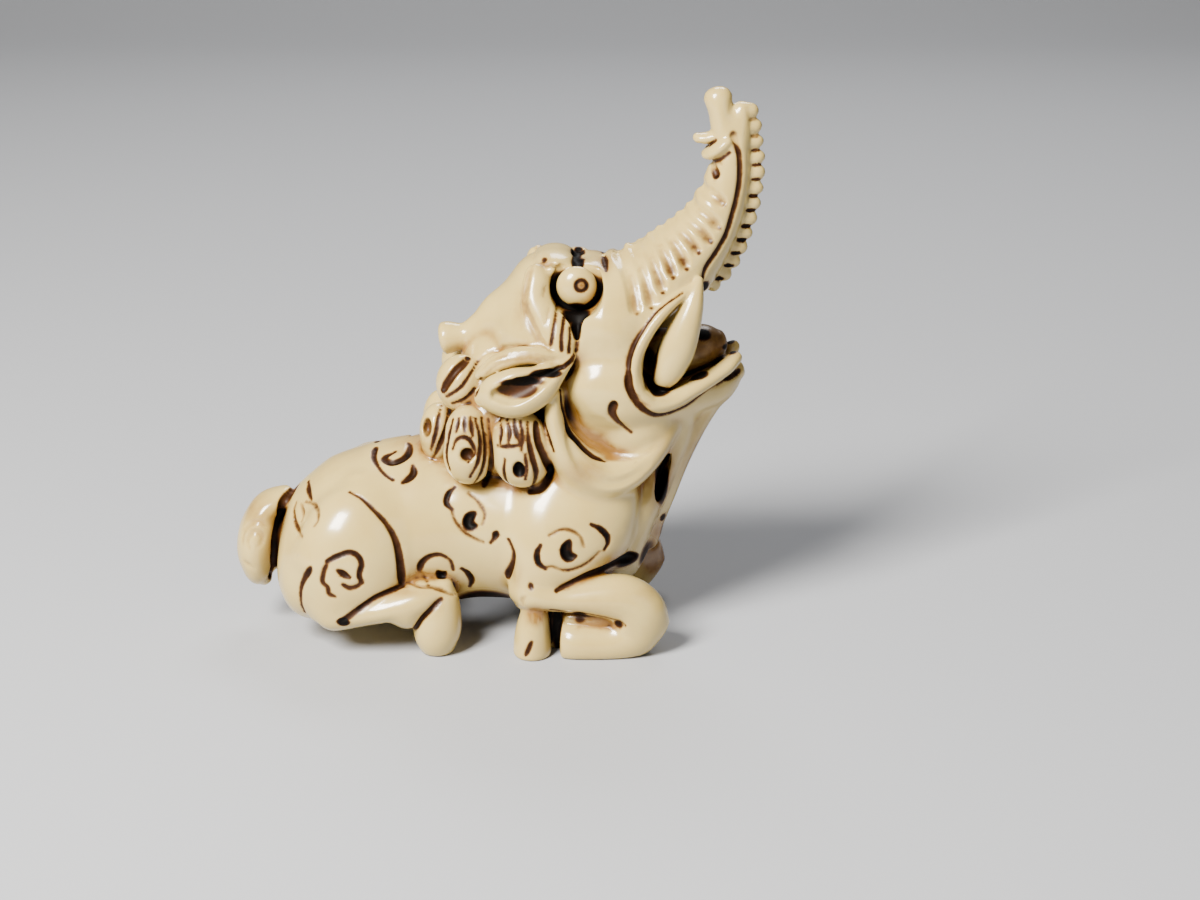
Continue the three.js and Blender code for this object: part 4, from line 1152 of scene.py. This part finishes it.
@dataclass
class Clouds(Part):
    """The cloud scrolls incised on the flanks, each a few short strokes round a comma."""

    def marks(self, burin: Burin) -> list[Mark]:
        """The strokes of the six scrolls."""
        bold = {"width": 0.42, "ink": 1.0}
        thin = {"width": 0.3, "ink": 0.6}
        return [
            # shoulder
            burin.side([(4.2, 10.9), (3.9, 10.2), (4.0, 9.4), (4.6, 8.9)], **bold),
            burin.side([(4.5, 9.0), (5.2, 9.1), (6.2, 8.7), (7.3, 8.8), (8.3, 9.3), (9.1, 10.0)], **thin),
            burin.side([(4.9, 11.7), (5.7, 12.1), (6.6, 12.1), (7.5, 11.5), (7.8, 10.6)], **thin),
            burin.side([(6.6, 11.2), (6.3, 10.5), (6.5, 9.9), (7.1, 9.9)], 0.85, 1.0),
            burin.side([(8.4, 12.4), (9.1, 12.0), (9.7, 11.3), (9.8, 10.6), (9.5, 10.1)], **bold),
            # flank
            burin.side([(-3.0, 14.8), (-3.5, 14.4), (-3.7, 13.7), (-3.2, 13.2)], **bold),
            burin.side([(-3.3, 13.3), (-2.9, 12.2), (-2.1, 11.3), (-1.1, 10.7), (-0.6, 10.5)], **thin),
            burin.side([(-1.3, 12.9), (-1.8, 12.5), (-1.8, 11.9), (-1.2, 11.9)], 0.8, 1.0),
            burin.side([(-1.9, 14.4), (-1.1, 13.8), (-0.5, 12.9), (-0.7, 12.0)], **thin),
            burin.side([(0.5, 11.4), (0.3, 10.9), (0.0, 10.5)], 0.6, 0.95, Swell.START),
            # belly
            burin.side([(-6.0, 8.0), (-5.8, 8.7), (-5.1, 9.3), (-4.2, 9.4), (-3.4, 8.8),
                        (-3.2, 7.9)], 0.55, 0.9, Swell.START),
            burin.side([(-4.5, 7.8), (-4.2, 7.3), (-3.9, 7.7)], 0.6, 0.95),
            burin.side([(-6.0, 8.0), (-5.3, 7.1), (-4.2, 6.6), (-3.0, 6.0)], **thin),
            burin.side([(-2.5, 8.0), (-2.0, 7.5), (-1.7, 6.7), (-1.9, 5.9)], **bold),
            # haunch
            burin.side([(-13.5, 9.6), (-12.8, 10.0), (-11.7, 10.4), (-11.0, 10.2), (-10.6, 9.5), (-10.8, 8.5),
                        (-10.6, 7.8)], 0.38, 0.9, Swell.EVEN),
            burin.side([(-10.6, 7.9), (-11.0, 7.5), (-11.7, 7.4), (-12.2, 7.7)], 0.34, 0.75, Swell.EVEN),
            burin.side([(-13.5, 9.4), (-13.8, 8.6), (-13.9, 7.8), (-13.5, 7.4), (-13.4, 6.8),
                        (-12.9, 6.6)], 0.36, 0.75, Swell.EVEN),
            burin.side([(-12.6, 8.9), (-12.1, 8.6), (-11.6, 8.3)], 0.5, 0.9),
            # rump
            burin.near([(-15.8, -1.3, 13.9), (-15.5, -2.9, 13.5), (-15.2, -4.1, 13.2)], 0.42, 0.8),
            burin.near([(-16.7, -2.7, 12.5), (-16.8, -3.3, 11.9), (-16.4, -4.7, 11.1), (-15.7, -7.4, 11.1)], 0.38, 0.6),
            burin.near([(-16.2, -3.4, 12.6), (-15.9, -4.4, 12.2), (-16.0, -5.0, 11.6)], 0.36, 0.5),
            burin.near([(-15.8, -3.7, 12.9), (-15.0, -4.8, 13.1), (-14.4, -6.6, 13.2), (-14.3, -7.6, 12.7),
                        (-14.6, -7.8, 12.2)], 0.38, 0.55),
            # back
            burin.near([(-10.0, -0.7, 16.7), (-10.0, -2.5, 16.4), (-9.5, -3.8, 16.0), (-8.9, -4.6, 15.6),
                        (-8.2, -5.1, 15.3)], 0.55, 0.9, Swell.START),
            burin.near([(-8.2, -2.2, 16.9), (-9.1, -2.8, 16.5), (-8.5, -3.5, 16.3), (-7.7, -3.4, 16.5),
                        (-7.1, -2.8, 16.8),
                        (-7.0, -1.7, 17.2), (-7.2, -1.0, 17.3)], 0.6, 0.9),
            burin.near([(-6.6, -4.0, 16.2), (-6.5, -4.6, 15.7), (-6.9, -5.0, 15.3), (-7.4, -5.3, 15.1)], 0.55, 0.9),
        ]


def make_parts() -> list[Part]:
    """The parts of the beast, in the order in which they are joined."""
    return [Body(), Legs(), Head(), Trunk(), Mane(), Mouth(), Clouds()]


# ---- Geometry Nodes ------------------------------------------------------------------------


def add_node(tree: bpy.types.NodeTree, kind: str, links: dict | None = None, **settings) -> bpy.types.Node:
    """Adds a node to a tree.

    Args:
        tree: The tree.
        kind: The node's type name.
        links: What feeds its inputs: an output socket, or a value, by the input's name or number.
        settings: Its own properties, by name.

    Returns:
        The node.
    """
    node = tree.nodes.new(kind)
    for name, value in settings.items():
        setattr(node, name, value)
    for name, value in (links or {}).items():
        socket = node.inputs[name]
        if isinstance(value, bpy.types.NodeSocket):
            tree.links.new(value, socket)
        else:
            socket.default_value = value
    return node


@dataclass
class Pattern:
    """A Geometry Nodes tree that repeats a shape along lines, and the reading of its result."""

    name: str
    sizes: dict[str, float]
    seed: int = 7

    def start(self) -> tuple[bpy.types.GeometryNodeTree, dict[str, bpy.types.NodeSocket]]:
        """Starts the tree with its named inputs.

        Returns:
            The tree, and its inputs' sockets by name.
        """
        tree = bpy.data.node_groups.new(self.name, "GeometryNodeTree")
        tree.interface.new_socket("Lines", in_out="INPUT", socket_type="NodeSocketGeometry")
        for size in self.sizes:
            tree.interface.new_socket(size, in_out="INPUT", socket_type="NodeSocketFloat")
        tree.interface.new_socket("Seed", in_out="INPUT", socket_type="NodeSocketInt")
        tree.interface.new_socket("Material", in_out="INPUT", socket_type="NodeSocketMaterial")
        tree.interface.new_socket("Shape", in_out="OUTPUT", socket_type="NodeSocketGeometry")
        given = add_node(tree, "NodeGroupInput")
        return tree, {socket.name: socket for socket in given.outputs if socket.name}

    def close(self, tree: bpy.types.GeometryNodeTree, shape: bpy.types.NodeSocket,
              material: bpy.types.NodeSocket) -> None:
        """Ends the tree in Realize Instances and Set Material.

        Args:
            tree: The tree.
            shape: The geometry so far.
            material: The material input's socket.
        """
        real = add_node(tree, "GeometryNodeRealizeInstances", {"Geometry": shape})
        dressed = add_node(tree, "GeometryNodeSetMaterial", {"Geometry": real.outputs[0], "Material": material})
        add_node(tree, "NodeGroupOutput", {0: dressed.outputs[0]})

    def tree(self) -> bpy.types.GeometryNodeTree:
        """Builds the tree. Each pattern has its own."""
        raise NotImplementedError

    def lines(self, paths: list[np.ndarray], swells: list[np.ndarray]) -> bpy.types.Object:
        """Makes the lines that the tree works on.

        Args:
            paths: The points of each line.
            swells: The half-width at each of their points.

        Returns:
            An object of edges that carry the half-widths.
        """
        mesh = bpy.data.meshes.new(self.name)
        edges, start = [], 0
        for path in paths:
            edges += [(start + i, start + i + 1) for i in range(len(path) - 1)]
            start += len(path)
        mesh.from_pydata(np.vstack(paths).tolist(), edges, [])
        mesh.attributes.new("swell", "FLOAT", "POINT").data.foreach_set("value",
                                                                        np.concatenate(swells).astype(np.float32))
        lines = bpy.data.objects.new(self.name, mesh)
        bpy.context.scene.collection.objects.link(lines)
        return lines

    def make(self, paths: list[np.ndarray], swells: list[np.ndarray], material: bpy.types.Material) -> Solid:
        """Runs the tree over lines and reads what it makes.

        Args:
            paths: The points of each line.
            swells: The half-width at each of their points.
            material: What the shape is made of.

        Returns:
            The closed solid.
        """
        lines = self.lines(paths, swells)
        tree = self.tree()
        modifier = lines.modifiers.new(self.name, "NODES")
        modifier.node_group = tree
        values = {**self.sizes, "Seed": self.seed, "Material": material}
        for item in tree.interface.items_tree:
            if item.in_out == "INPUT" and item.name in values:
                modifier[item.identifier] = values[item.name]
        made = bpy.data.meshes.new_from_object(lines.evaluated_get(bpy.context.evaluated_depsgraph_get()))
        lines.modifiers.remove(modifier)
        made.calc_loop_triangles()
        points = np.empty(len(made.vertices) * 3, np.float32)
        made.vertices.foreach_get("co", points)
        faces = np.empty(len(made.loop_triangles) * 3, np.int32)
        made.loop_triangles.foreach_get("vertices", faces)
        bpy.data.objects.remove(lines)
        bpy.data.meshes.remove(made)
        LOG.info("%s: %d lines, %d triangles", self.name, len(paths), len(faces) // 3)
        return Solid(points.reshape(-1, 3), faces.reshape(-1, 3).astype(np.uint32))


class Strokes(Pattern):
    """The graver's cuts: a round cutter swept along each line, as thick as the line swells."""

    def tree(self) -> bpy.types.GeometryNodeTree:
        """Builds the tree of the swept cutter."""
        tree, given = self.start()
        curve = add_node(tree, "GeometryNodeMeshToCurve", {"Mesh": given["Lines"]})
        tremor = add_node(
            tree,
            "FunctionNodeRandomValue",
            {0: (-1.0, -1.0, -1.0), 1: (1.0, 1.0, 1.0), "Seed": given["Seed"]},
            data_type="FLOAT_VECTOR",
        )
        shake = add_node(
            tree, "ShaderNodeVectorMath", {0: tremor.outputs[0], "Scale": given["Tremor"]}, operation="SCALE"
        )
        moved = add_node(tree, "GeometryNodeSetPosition", {"Geometry": curve.outputs[0], "Offset": shake.outputs[0]})
        swell = add_node(tree, "GeometryNodeInputNamedAttribute", {"Name": "swell"}, data_type="FLOAT")
        wide = add_node(tree, "ShaderNodeMath", {0: swell.outputs[0], 1: given["Widen"]}, operation="MULTIPLY")
        ring = add_node(tree, "GeometryNodeCurvePrimitiveCircle", {"Resolution": 12, "Radius": 1.0}, mode="RADIUS")
        tube = add_node(
            tree,
            "GeometryNodeCurveToMesh",
            {"Curve": moved.outputs[0], "Profile Curve": ring.outputs[0], "Scale": wide.outputs[0], "Fill Caps": True},
        )
        self.close(tree, tube.outputs[0], given["Material"])
        return tree


class Beads(Pattern):
    """The crest's beads: a pebble at even steps along a line, each a little different."""

    def tree(self) -> bpy.types.GeometryNodeTree:
        """Builds the tree of the repeated pebble."""
        tree, given = self.start()
        curve = add_node(tree, "GeometryNodeMeshToCurve", {"Mesh": given["Lines"]})
        count = add_node(tree, "FunctionNodeFloatToInt", {0: given["Count"]})
        even = add_node(tree, "GeometryNodeResampleCurve", {"Curve": curve.outputs[0], "Count": count.outputs[0]})
        points = add_node(tree, "GeometryNodeCurveToPoints", {"Curve": even.outputs[0]}, mode="EVALUATED")
        ball = add_node(tree, "GeometryNodeMeshIcoSphere", {"Radius": 1.0, "Subdivisions": 3})
        vary = add_node(tree, "FunctionNodeRandomValue", {2: 0.9, 3: 1.1, "Seed": given["Seed"]}, data_type="FLOAT")
        long = add_node(tree, "ShaderNodeMath", {0: given["Length"], 1: vary.outputs[1]}, operation="MULTIPLY")
        size = add_node(
            tree, "ShaderNodeCombineXYZ", {"X": given["Depth"], "Y": given["Width"], "Z": long.outputs[0]}
        )
        beads = add_node(
            tree,
            "GeometryNodeInstanceOnPoints",
            {
                "Points": points.outputs["Points"],
                "Instance": ball.outputs[0],
                "Rotation": points.outputs["Rotation"],
                "Scale": size.outputs[0],
            },
        )
        self.close(tree, beads.outputs[0], given["Material"])
        return tree


# ---- Finish --------------------------------------------------------------------------------


def linear(code: str, alpha: float = 1.0) -> tuple[float, float, float, float]:
    """Turns an sRGB hex colour into a linear one.

    Args:
        code: The colour, such as "#EDE4CC".
        alpha: Its opacity.

    Returns:
        Red, green, blue and opacity, from 0 to 1.
    """
    parts = [int(code[i : i + 2], 16) / 255 for i in (1, 3, 5)]
    red, green, blue = (c / 12.92 if c <= 0.04045 else ((c + 0.055) / 1.055) ** 2.4 for c in parts)
    return (red, green, blue, alpha)


@dataclass(frozen=True)
class StainedIvory:
    """Carved, stained and hand-polished ivory.

    The polish gives soft broad highlights over a little depth. The stain was rubbed in and wiped
    off, so it lies nearly black in the cuts, umber on their shoulders and honey where it was thin.
    The same colours also paint shade into the hollows, the gaps and the parts that lie in shade.
    """

    cream: str = "#B99D59"
    pale: str = "#CEB873"
    honey: str = "#7F571E"
    umber: str = "#3A1F0A"
    black: str = "#060302"

    def material(self) -> bpy.types.Material:
        """Builds the material, which reads the stain_and_shade and warmth_and_shade attributes of the piece: its stain
        and tint, and its painted shade.
        """
        made = bpy.data.materials.new("stained ivory")
        made.use_nodes = True
        tree = made.node_tree
        tree.nodes.clear()
        place = add_node(tree, "ShaderNodeTexCoord").outputs["Object"]
        # The stain attribute holds the real stain and the painted shade of hollows and gaps; the warmth attribute holds
        # the honey tint and painted shade.
        stain_and_shade = add_node(tree, "ShaderNodeAttribute", attribute_name="stain_and_shade").outputs["Fac"]
        warmth_and_shade = add_node(tree, "ShaderNodeAttribute", attribute_name="warmth_and_shade").outputs["Fac"]
        clouds = add_node(tree, "ShaderNodeTexNoise", {"Vector": place, "Scale": 260.0, "Detail": 4.0})
        streaks = add_node(tree, "ShaderNodeTexNoise", {"Vector": place, "Scale": 1400.0, "Detail": 3.0})
        base = add_node(tree, "ShaderNodeMix", {"Factor": clouds.outputs["Fac"]}, data_type="RGBA")
        base.inputs[6].default_value = linear(self.pale)
        base.inputs[7].default_value = linear(self.cream)
        worn = add_node(
            tree, "ShaderNodeMath", {0: streaks.outputs["Fac"], 1: 0.5, 2: -0.25}, operation="MULTIPLY_ADD"
        )
        # Honey is mixed in by warmth: tint, and painted shade.
        warm = add_node(tree, "ShaderNodeMath", {0: worn.outputs[0], 1: warmth_and_shade}, operation="ADD", use_clamp=True)
        cover = add_node(tree, "ShaderNodeMath", {0: warm.outputs[0], 1: warmth_and_shade}, operation="MULTIPLY", use_clamp=True)
        toned = add_node(
            tree, "ShaderNodeMix", {"Factor": cover.outputs[0], 6: base.outputs[2]}, data_type="RGBA", blend_type="MIX"
        )
        toned.inputs[7].default_value = linear(self.honey)
        edge = add_node(
            tree, "ShaderNodeMath", {0: streaks.outputs["Fac"], 1: 0.3, 2: -0.15}, operation="MULTIPLY_ADD"
        )
        # The ramp darkens by stain: the stain in the cuts, and painted shade.
        ragged = add_node(tree, "ShaderNodeMath", {0: edge.outputs[0], 1: stain_and_shade}, operation="ADD", use_clamp=True)
        ramp = add_node(tree, "ShaderNodeValToRGB", {0: ragged.outputs[0]})
        stops = [(0.0, self.honey), (0.28, self.honey), (0.58, self.umber), (0.88, self.black)]
        while len(ramp.color_ramp.elements) < len(stops):
            ramp.color_ramp.elements.new(0.5)
        for element, (at, colour) in zip(ramp.color_ramp.elements, stops):
            element.position, element.color = at, linear(colour)
        amount = add_node(tree, "ShaderNodeMapRange", {"Value": ragged.outputs[0], 1: 0.12, 2: 0.5})
        colour = add_node(
            tree, "ShaderNodeMix", {"Factor": amount.outputs[0], 6: toned.outputs[2],
                                    7: ramp.outputs[0]}, data_type="RGBA"
        )
        rough = add_node(tree, "ShaderNodeMapRange", {"Value": stain_and_shade, 3: 0.22, 4: 0.6})
        shine = add_node(tree, "ShaderNodeMapRange", {"Value": stain_and_shade, 1: 0.1, 2: 0.7, 3: 0.5, 4: 0.08})
        gloss = add_node(tree, "ShaderNodeMapRange", {"Value": stain_and_shade, 1: 0.05, 2: 0.5, 3: 0.35, 4: 0.0})
        skin = add_node(
            tree,
            "ShaderNodeBsdfPrincipled",
            {
                "Base Color": colour.outputs[2],
                "Roughness": rough.outputs[0],
                "IOR": 1.54,
                "Subsurface Weight": 0.1,
                "Subsurface Radius": (1.0, 0.8, 0.5),
                "Subsurface Scale": 0.0003,
                "Specular IOR Level": shine.outputs[0],
                "Coat Weight": gloss.outputs[0],
                "Coat Roughness": 0.1,
            },
        )
        add_node(tree, "ShaderNodeOutputMaterial", {"Surface": skin.outputs[0]})
        return made


# ---- The carver ----------------------------------------------------------------------------


@dataclass
class Datum:
    """Carries points from the beast's own millimetres to the frame's metres."""

    ahead: float
    up: float

    @classmethod
    def from_box(cls, node: str) -> "Datum":
        """Reads where the beast stands from its CAD node."""
        low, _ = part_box(node)
        return cls(low.x * 1000 + TAIL_BACK, low.z * 1000 - SOLE)

    def to_frame(self, points: np.ndarray) -> np.ndarray:
        """Carries points into the frame, in metres."""
        return (points + np.array([self.ahead, 0.0, self.up])) / 1000


class Carver:
    """Carves the parts out of one block, stains the cuts, paints shade into the hollows and gaps and hands over the
    finished piece.
    """

    def __init__(self, parts: list[Part], datum: Datum, finish: StainedIvory) -> None:
        """Takes the parts in the order in which they are joined.

        Args:
            parts: The parts of the beast.
            datum: Where it stands in the frame.
            finish: What it is made of.
        """
        self.parts = parts
        self.datum = datum
        self.material = finish.material()
        self.block = Block()

    def carve(self) -> list[Mark]:
        """Joins the masses, cuts the hollows and incises the lines.

        Returns:
            The lines, for the stain.
        """
        forms = [form for part in self.parts for form in part.forms()]
        for step in Step:
            for form in forms:
                if form.step is not step:
                    continue
                work = self.block.cut if step is Step.HOLLOW else self.block.join
                work(form.solid, form.blend)
            LOG.info("%s: %d forms", step.value, sum(form.step is step for form in forms))
        trunk = next(part for part in self.parts if isinstance(part, Trunk))
        crest = trunk.crest()
        beads = Beads("beads", {"Count": float(BEADS), "Length": 0.72, "Width": 0.95, "Depth": 0.62})
        self.block.join(beads.make([crest], [np.ones(len(crest))], self.material), 0.15)
        burin = Burin(Skin(self.block))
        marks = [mark for part in self.parts for mark in part.marks(burin)]
        strokes = Strokes("strokes", {"Widen": 1.0, "Tremor": 0.012})
        cuts = strokes.make([mark.points for mark in marks], [mark.radii for mark in marks], self.material)
        self.block.cut(cuts, 0.12)
        self.block.stand(SOLE, 0.3)
        self.block.polish(1)
        return marks

    def cavity(self, reach: float) -> tuple[np.ndarray, int]:
        """Measures how full the block is round each place in it.

        Args:
            reach: How far round a place to look, in mm.

        Returns:
            The share that is full, over the whole block, and how many voxels apart the shares are.
        """
        full = np.clip(0.5 - self.block.mirrored() / VOXEL, 0, 1)
        step = 2 if reach > 0.6 else 1
        full = full[::step, ::step, ::step]
        width = max(1, int(round(reach / (VOXEL * step) * 0.6)))
        for axis in range(3):
            for _ in range(2):
                total = np.cumsum(full, axis=axis, dtype=np.float32)
                pad = [(width + 1, width) if i == axis else (0, 0) for i in range(3)]
                total = np.pad(total, pad, mode="edge")
                head = [slice(None)] * 3
                tail = [slice(None)] * 3
                head[axis], tail[axis] = slice(2 * width + 1, None), slice(None, -(2 * width + 1))
                first = [slice(None)] * 3
                first[axis] = slice(0, width + 1)
                total[tuple(first)] = 0
                full = (total[tuple(head)] - total[tuple(tail)]) / (2 * width + 1)
        return full, step

    def read(self, values: np.ndarray, points: np.ndarray, step: int = 1) -> np.ndarray:
        """Reads an array that covers the whole block at points.

        Args:
            values: The array.
            points: Where to read it, in the beast's millimetres.
            step: How many voxels apart its values are.

        Returns:
            One value for each point.
        """
        place = (points / VOXEL - self.block.corner) / step
        place = np.clip(place, 0, np.array(values.shape) - 1.001)
        low = place.astype(int)
        part = place - low
        out = np.zeros(len(points), np.float32)
        for corner in range(8):
            offset = np.array([corner >> 2 & 1, corner >> 1 & 1, corner & 1])
            weight = np.prod(np.where(offset, part, 1 - part), axis=1)
            i, j, k = (low + offset).T
            out += weight * values[i, j, k]
        return out

    def lines_stain(self, marks: list[Mark]) -> np.ndarray:
        """Lets the stain into the incised lines.

        Args:
            marks: The incised lines.

        Returns:
            How dark it is, from 0 to 1, over the near half of the block.
        """
        dark = np.zeros(self.block.field.shape, np.float32)
        last = np.array(dark.shape)
        for mark in marks:
            for centre, radius, ink in zip(mark.points, mark.radii, mark.ink):
                reach = mark.halo * radius + SEEP
                place = centre / VOXEL - self.block.corner
                low = np.clip(np.floor(place - reach / VOXEL), 0, last).astype(int)
                high = np.clip(np.ceil(place + reach / VOXEL) + 1, 0, last).astype(int)
                if np.any(high <= low):
                    continue
                x, y, z = (VOXEL * (np.arange(a, b) - at) for a, b, at in zip(low, high, place))
                distance = np.sqrt(x[:, None, None] ** 2 + y[:, None] ** 2 + z**2)
                here = dark[tuple(slice(a, b) for a, b in zip(low, high))]
                np.maximum(here, ink * np.clip((reach - distance) / (FADE_SHARE * radius + FADE), 0, 1), out=here)
        return dark

    def piece(self, name: str, marks: list[Mark]) -> bpy.types.Object:
        """Meshes the beast, stains it, paints its shade and puts it in the frame.

        Args:
            name: The name of the object.
            marks: The incised lines.

        Returns:
            The finished object.
        """
        points, quads = self.block.mesh(whole=True)
        LOG.info("meshed: %d points", len(points))
        mesh = bpy.data.meshes.new(name)
        mesh.from_pydata(points.tolist(), [], quads.tolist())
        made = bpy.data.objects.new(name, mesh)
        bpy.context.scene.collection.objects.link(made)
        stains_and_shades = self.stains_and_shades(marks)
        stain_and_shade, _ = stains_and_shades(points)
        # Stained and shaded skin keeps more of its triangles than plain skin.
        plain_skin = made.vertex_groups.new(name="plain skin")
        level = np.round(10 * (1 - np.clip(2.5 * stain_and_shade, 0, 0.9))).astype(int)
        for step in range(1, 11):
            plain_skin.add(np.flatnonzero(level == step).tolist(), step / 10, "REPLACE")
        thin = made.modifiers.new("thin", "DECIMATE")
        thin.ratio = min(1.0, FACES / (2 * len(quads)))
        thin.use_collapse_triangulate = True
        thin.vertex_group = plain_skin.name
        thin.vertex_group_factor = THRIFT
        mesh = bpy.data.meshes.new_from_object(made.evaluated_get(bpy.context.evaluated_depsgraph_get()))
        made.modifiers.remove(thin)
        made.vertex_groups.clear()
        made.data = mesh
        mesh.name = name
        flat = np.empty(len(mesh.vertices) * 3, np.float32)
        mesh.vertices.foreach_get("co", flat)
        points = flat.reshape(-1, 3)
        self.dress(mesh, *stains_and_shades(points))
        mesh.vertices.foreach_set("co", self.datum.to_frame(points).astype(np.float32).ravel())
        mesh.update()
        return made

    def stains_and_shades(self, marks: list[Mark]) -> Callable[[np.ndarray], tuple[np.ndarray, np.ndarray]]:
        """Works out where the stain lies, where it has warmed the ivory and where shade is painted.

        Args:
            marks: The incised lines.

        Returns:
            A function that gives the stain and the warmth, each with painted shade in it, from 0 to 1, at points of the
            skin.
        """
        hollows = [self.cavity(reach) for reach in (0.4, 1.1, 2.6)]
        lines = self.lines_stain(marks)
        pools = [pool for part in self.parts for pool in part.stains_and_shades()]
        tints_and_shades = [tint for part in self.parts for tint in part.warmths_and_shades()]

        def at(points: np.ndarray) -> tuple[np.ndarray, np.ndarray]:
            """The stain and the warmth, with their painted shade, at points of the skin."""
            folded = points.copy()
            folded[:, 1] = -np.abs(folded[:, 1])
            fine, middle, wide = (2 * (self.read(values, points, step) - 0.5) for values, step in hollows)
            # The hollows darken: the stain that lies in them, and painted shade.
            stain_and_shade = np.clip((fine - 0.22) / 0.4, 0, 1) * 0.5 + np.clip((middle - 0.2) / 0.45, 0, 1)
            stain_and_shade = np.maximum(np.clip(stain_and_shade, 0, 1), self.read(lines, folded))
            # The broad hollows turn honey: patina, and painted shade.
            warmth_and_shade = np.clip((wide + 0.02) / 0.5, 0, 0.95) + np.clip((middle - 0.05) / 0.5, 0, 0.4)
            # The pools of stain, some of them painted shade in gaps and hollows.
            for pool in pools:
                distance = np.linalg.norm((folded - pool.centre) / pool.radii, axis=1)
                stain_and_shade = np.maximum(stain_and_shade, pool.ink * np.clip((1.15 - distance) / 0.4, 0, 1))
            # The warm places, some of them painted shade; those on the far side only are painted shade.
            for tint in tints_and_shades:
                distance = np.linalg.norm(((points if tint.far else folded) - tint.centre) / tint.radii, axis=1)
                warmth_and_shade = np.maximum(warmth_and_shade, tint.strength * np.clip(1.3 - distance, 0, 1))
            return stain_and_shade, np.clip(warmth_and_shade, 0, 1)

        return at

    def dress(self, mesh: bpy.types.Mesh, stain_and_shade: np.ndarray, warmth_and_shade: np.ndarray) -> None:
        """Writes the stain and warmth, with their painted shade, on the mesh, and gives it its material.

        Args:
            mesh: The beast's mesh.
            stain_and_shade: How dark the stain and the painted shade are at each point.
            warmth_and_shade: How honey-coloured each point is, by tint and by painted shade.
        """
        for name, values in (("stain_and_shade", stain_and_shade), ("warmth_and_shade", warmth_and_shade)):
            mesh.attributes.new(name, "FLOAT", "POINT").data.foreach_set("value", values.astype(np.float32))
        mesh.materials.clear()
        mesh.materials.append(self.material)
        mesh.shade_smooth()


# ---- Studio --------------------------------------------------------------------------------


@dataclass
class Studio:
    """A pale floor, soft light and the camera."""

    datum: Datum
    tilt: float = 18.0              # how far the camera looks down, in degrees
    lens: float = 70.0
    sensor: float = 36.0
    distance: float = 0.20468       # from the camera to the plane of the beast's own zero
    aside: float = 0.0091228        # how far right of the beast's zero the camera stands
    rise: float = 0.014868          # how far above it, square to the view

    def camera(self) -> bpy.types.Object:
        """Sets up the camera."""
        data = bpy.data.cameras.new("camera")
        data.lens, data.sensor_width = self.lens, self.sensor
        data.clip_start, data.clip_end = 0.005, 10.0
        made = bpy.data.objects.new("camera", data)
        bpy.context.scene.collection.objects.link(made)
        tilt = math.radians(self.tilt)
        back = Vector((0, -math.cos(tilt), math.sin(tilt))) * self.distance
        up = Vector((0, math.sin(tilt), math.cos(tilt))) * self.rise
        made.location = back + up + Vector((self.aside + self.datum.ahead / 1000, 0, 0))
        made.rotation_euler = (math.pi / 2 - tilt, 0, 0)
        bpy.context.scene.camera = made
        return made

    def light(self, name: str, at: Point, size: tuple[float, float], power: float, tint: str = "#FFFFFF") -> None:
        """Hangs a soft light that faces the beast.

        Args:
            name: The light's name.
            at: Where it hangs, in metres.
            size: Its width and height, in metres.
            power: In watts.
            tint: Its colour.
        """
        data = bpy.data.lights.new(name, "AREA")
        data.shape, data.size, data.size_y = "RECTANGLE", size[0], size[1]
        data.energy, data.color = power, linear(tint)[:3]
        made = bpy.data.objects.new(name, data)
        bpy.context.scene.collection.objects.link(made)
        made.location = at
        made.rotation_euler = (Vector((0, 0, 0.02)) - Vector(at)).to_track_quat("-Z", "Y").to_euler()

    def floor(self) -> None:
        """Lays the floor, which curves up behind the beast."""
        rows, half = 24, 0.9
        back, bend = 0.35, 0.3
        profile = [(-0.6, 0.0), (back, 0.0)]
        profile += [
            (back + bend * math.sin(a), bend * (1 - math.cos(a))) for a in np.linspace(0, math.pi / 2, rows)[1:]
        ]
        profile.append((back + bend, 1.2))
        verts = [(x, y, z) for y, z in profile for x in (-half, half)]
        faces = [(2 * i, 2 * i + 1, 2 * i + 3, 2 * i + 2) for i in range(len(profile) - 1)]
        mesh = bpy.data.meshes.new("floor")
        mesh.from_pydata(verts, [], faces)
        mesh.shade_smooth()
        material = bpy.data.materials.new("pale paper")
        material.use_nodes = True
        shader = material.node_tree.nodes["Principled BSDF"]
        shader.inputs["Base Color"].default_value = linear("#A9ABB0")
        shader.inputs["Roughness"].default_value = 0.7
        mesh.materials.append(material)
        made = bpy.data.objects.new("floor", mesh)
        bpy.context.scene.collection.objects.link(made)

    def build(self) -> None:
        """Sets up the camera, the floor and the lights."""
        self.camera()
        self.floor()
        world = bpy.data.worlds.new("studio")
        bpy.context.scene.world = world
        world.use_nodes = True
        world.node_tree.nodes["Background"].inputs["Color"].default_value = linear("#D2D3D4")
        world.node_tree.nodes["Background"].inputs["Strength"].default_value = 0.12
        self.light("window", (-0.16, -0.22, 0.26), (0.11, 0.15), 5.6, "#FFFBF3")
        self.light("fill", (0.3, -0.28, 0.14), (0.25, 0.25), 0.22, "#F7F8FF")
        self.light("back", (0.05, 0.28, 0.3), (0.2, 0.12), 0.8)


def main() -> None:
    """Carves the beast, puts it in the frame and lights it."""
    logging.basicConfig(level=logging.INFO, format="%(name)s: %(message)s")
    datum = Datum.from_box("baku")
    Studio(datum).build()
    carver = Carver(make_parts(), datum, StainedIvory())
    marks = carver.carve()
    beast = carver.piece("beast", marks)
    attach(beast, "root")
    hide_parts("baku")
    LOG.info("beast: %d triangles", len(beast.data.polygons))


if __name__ == "__main__":
    main()
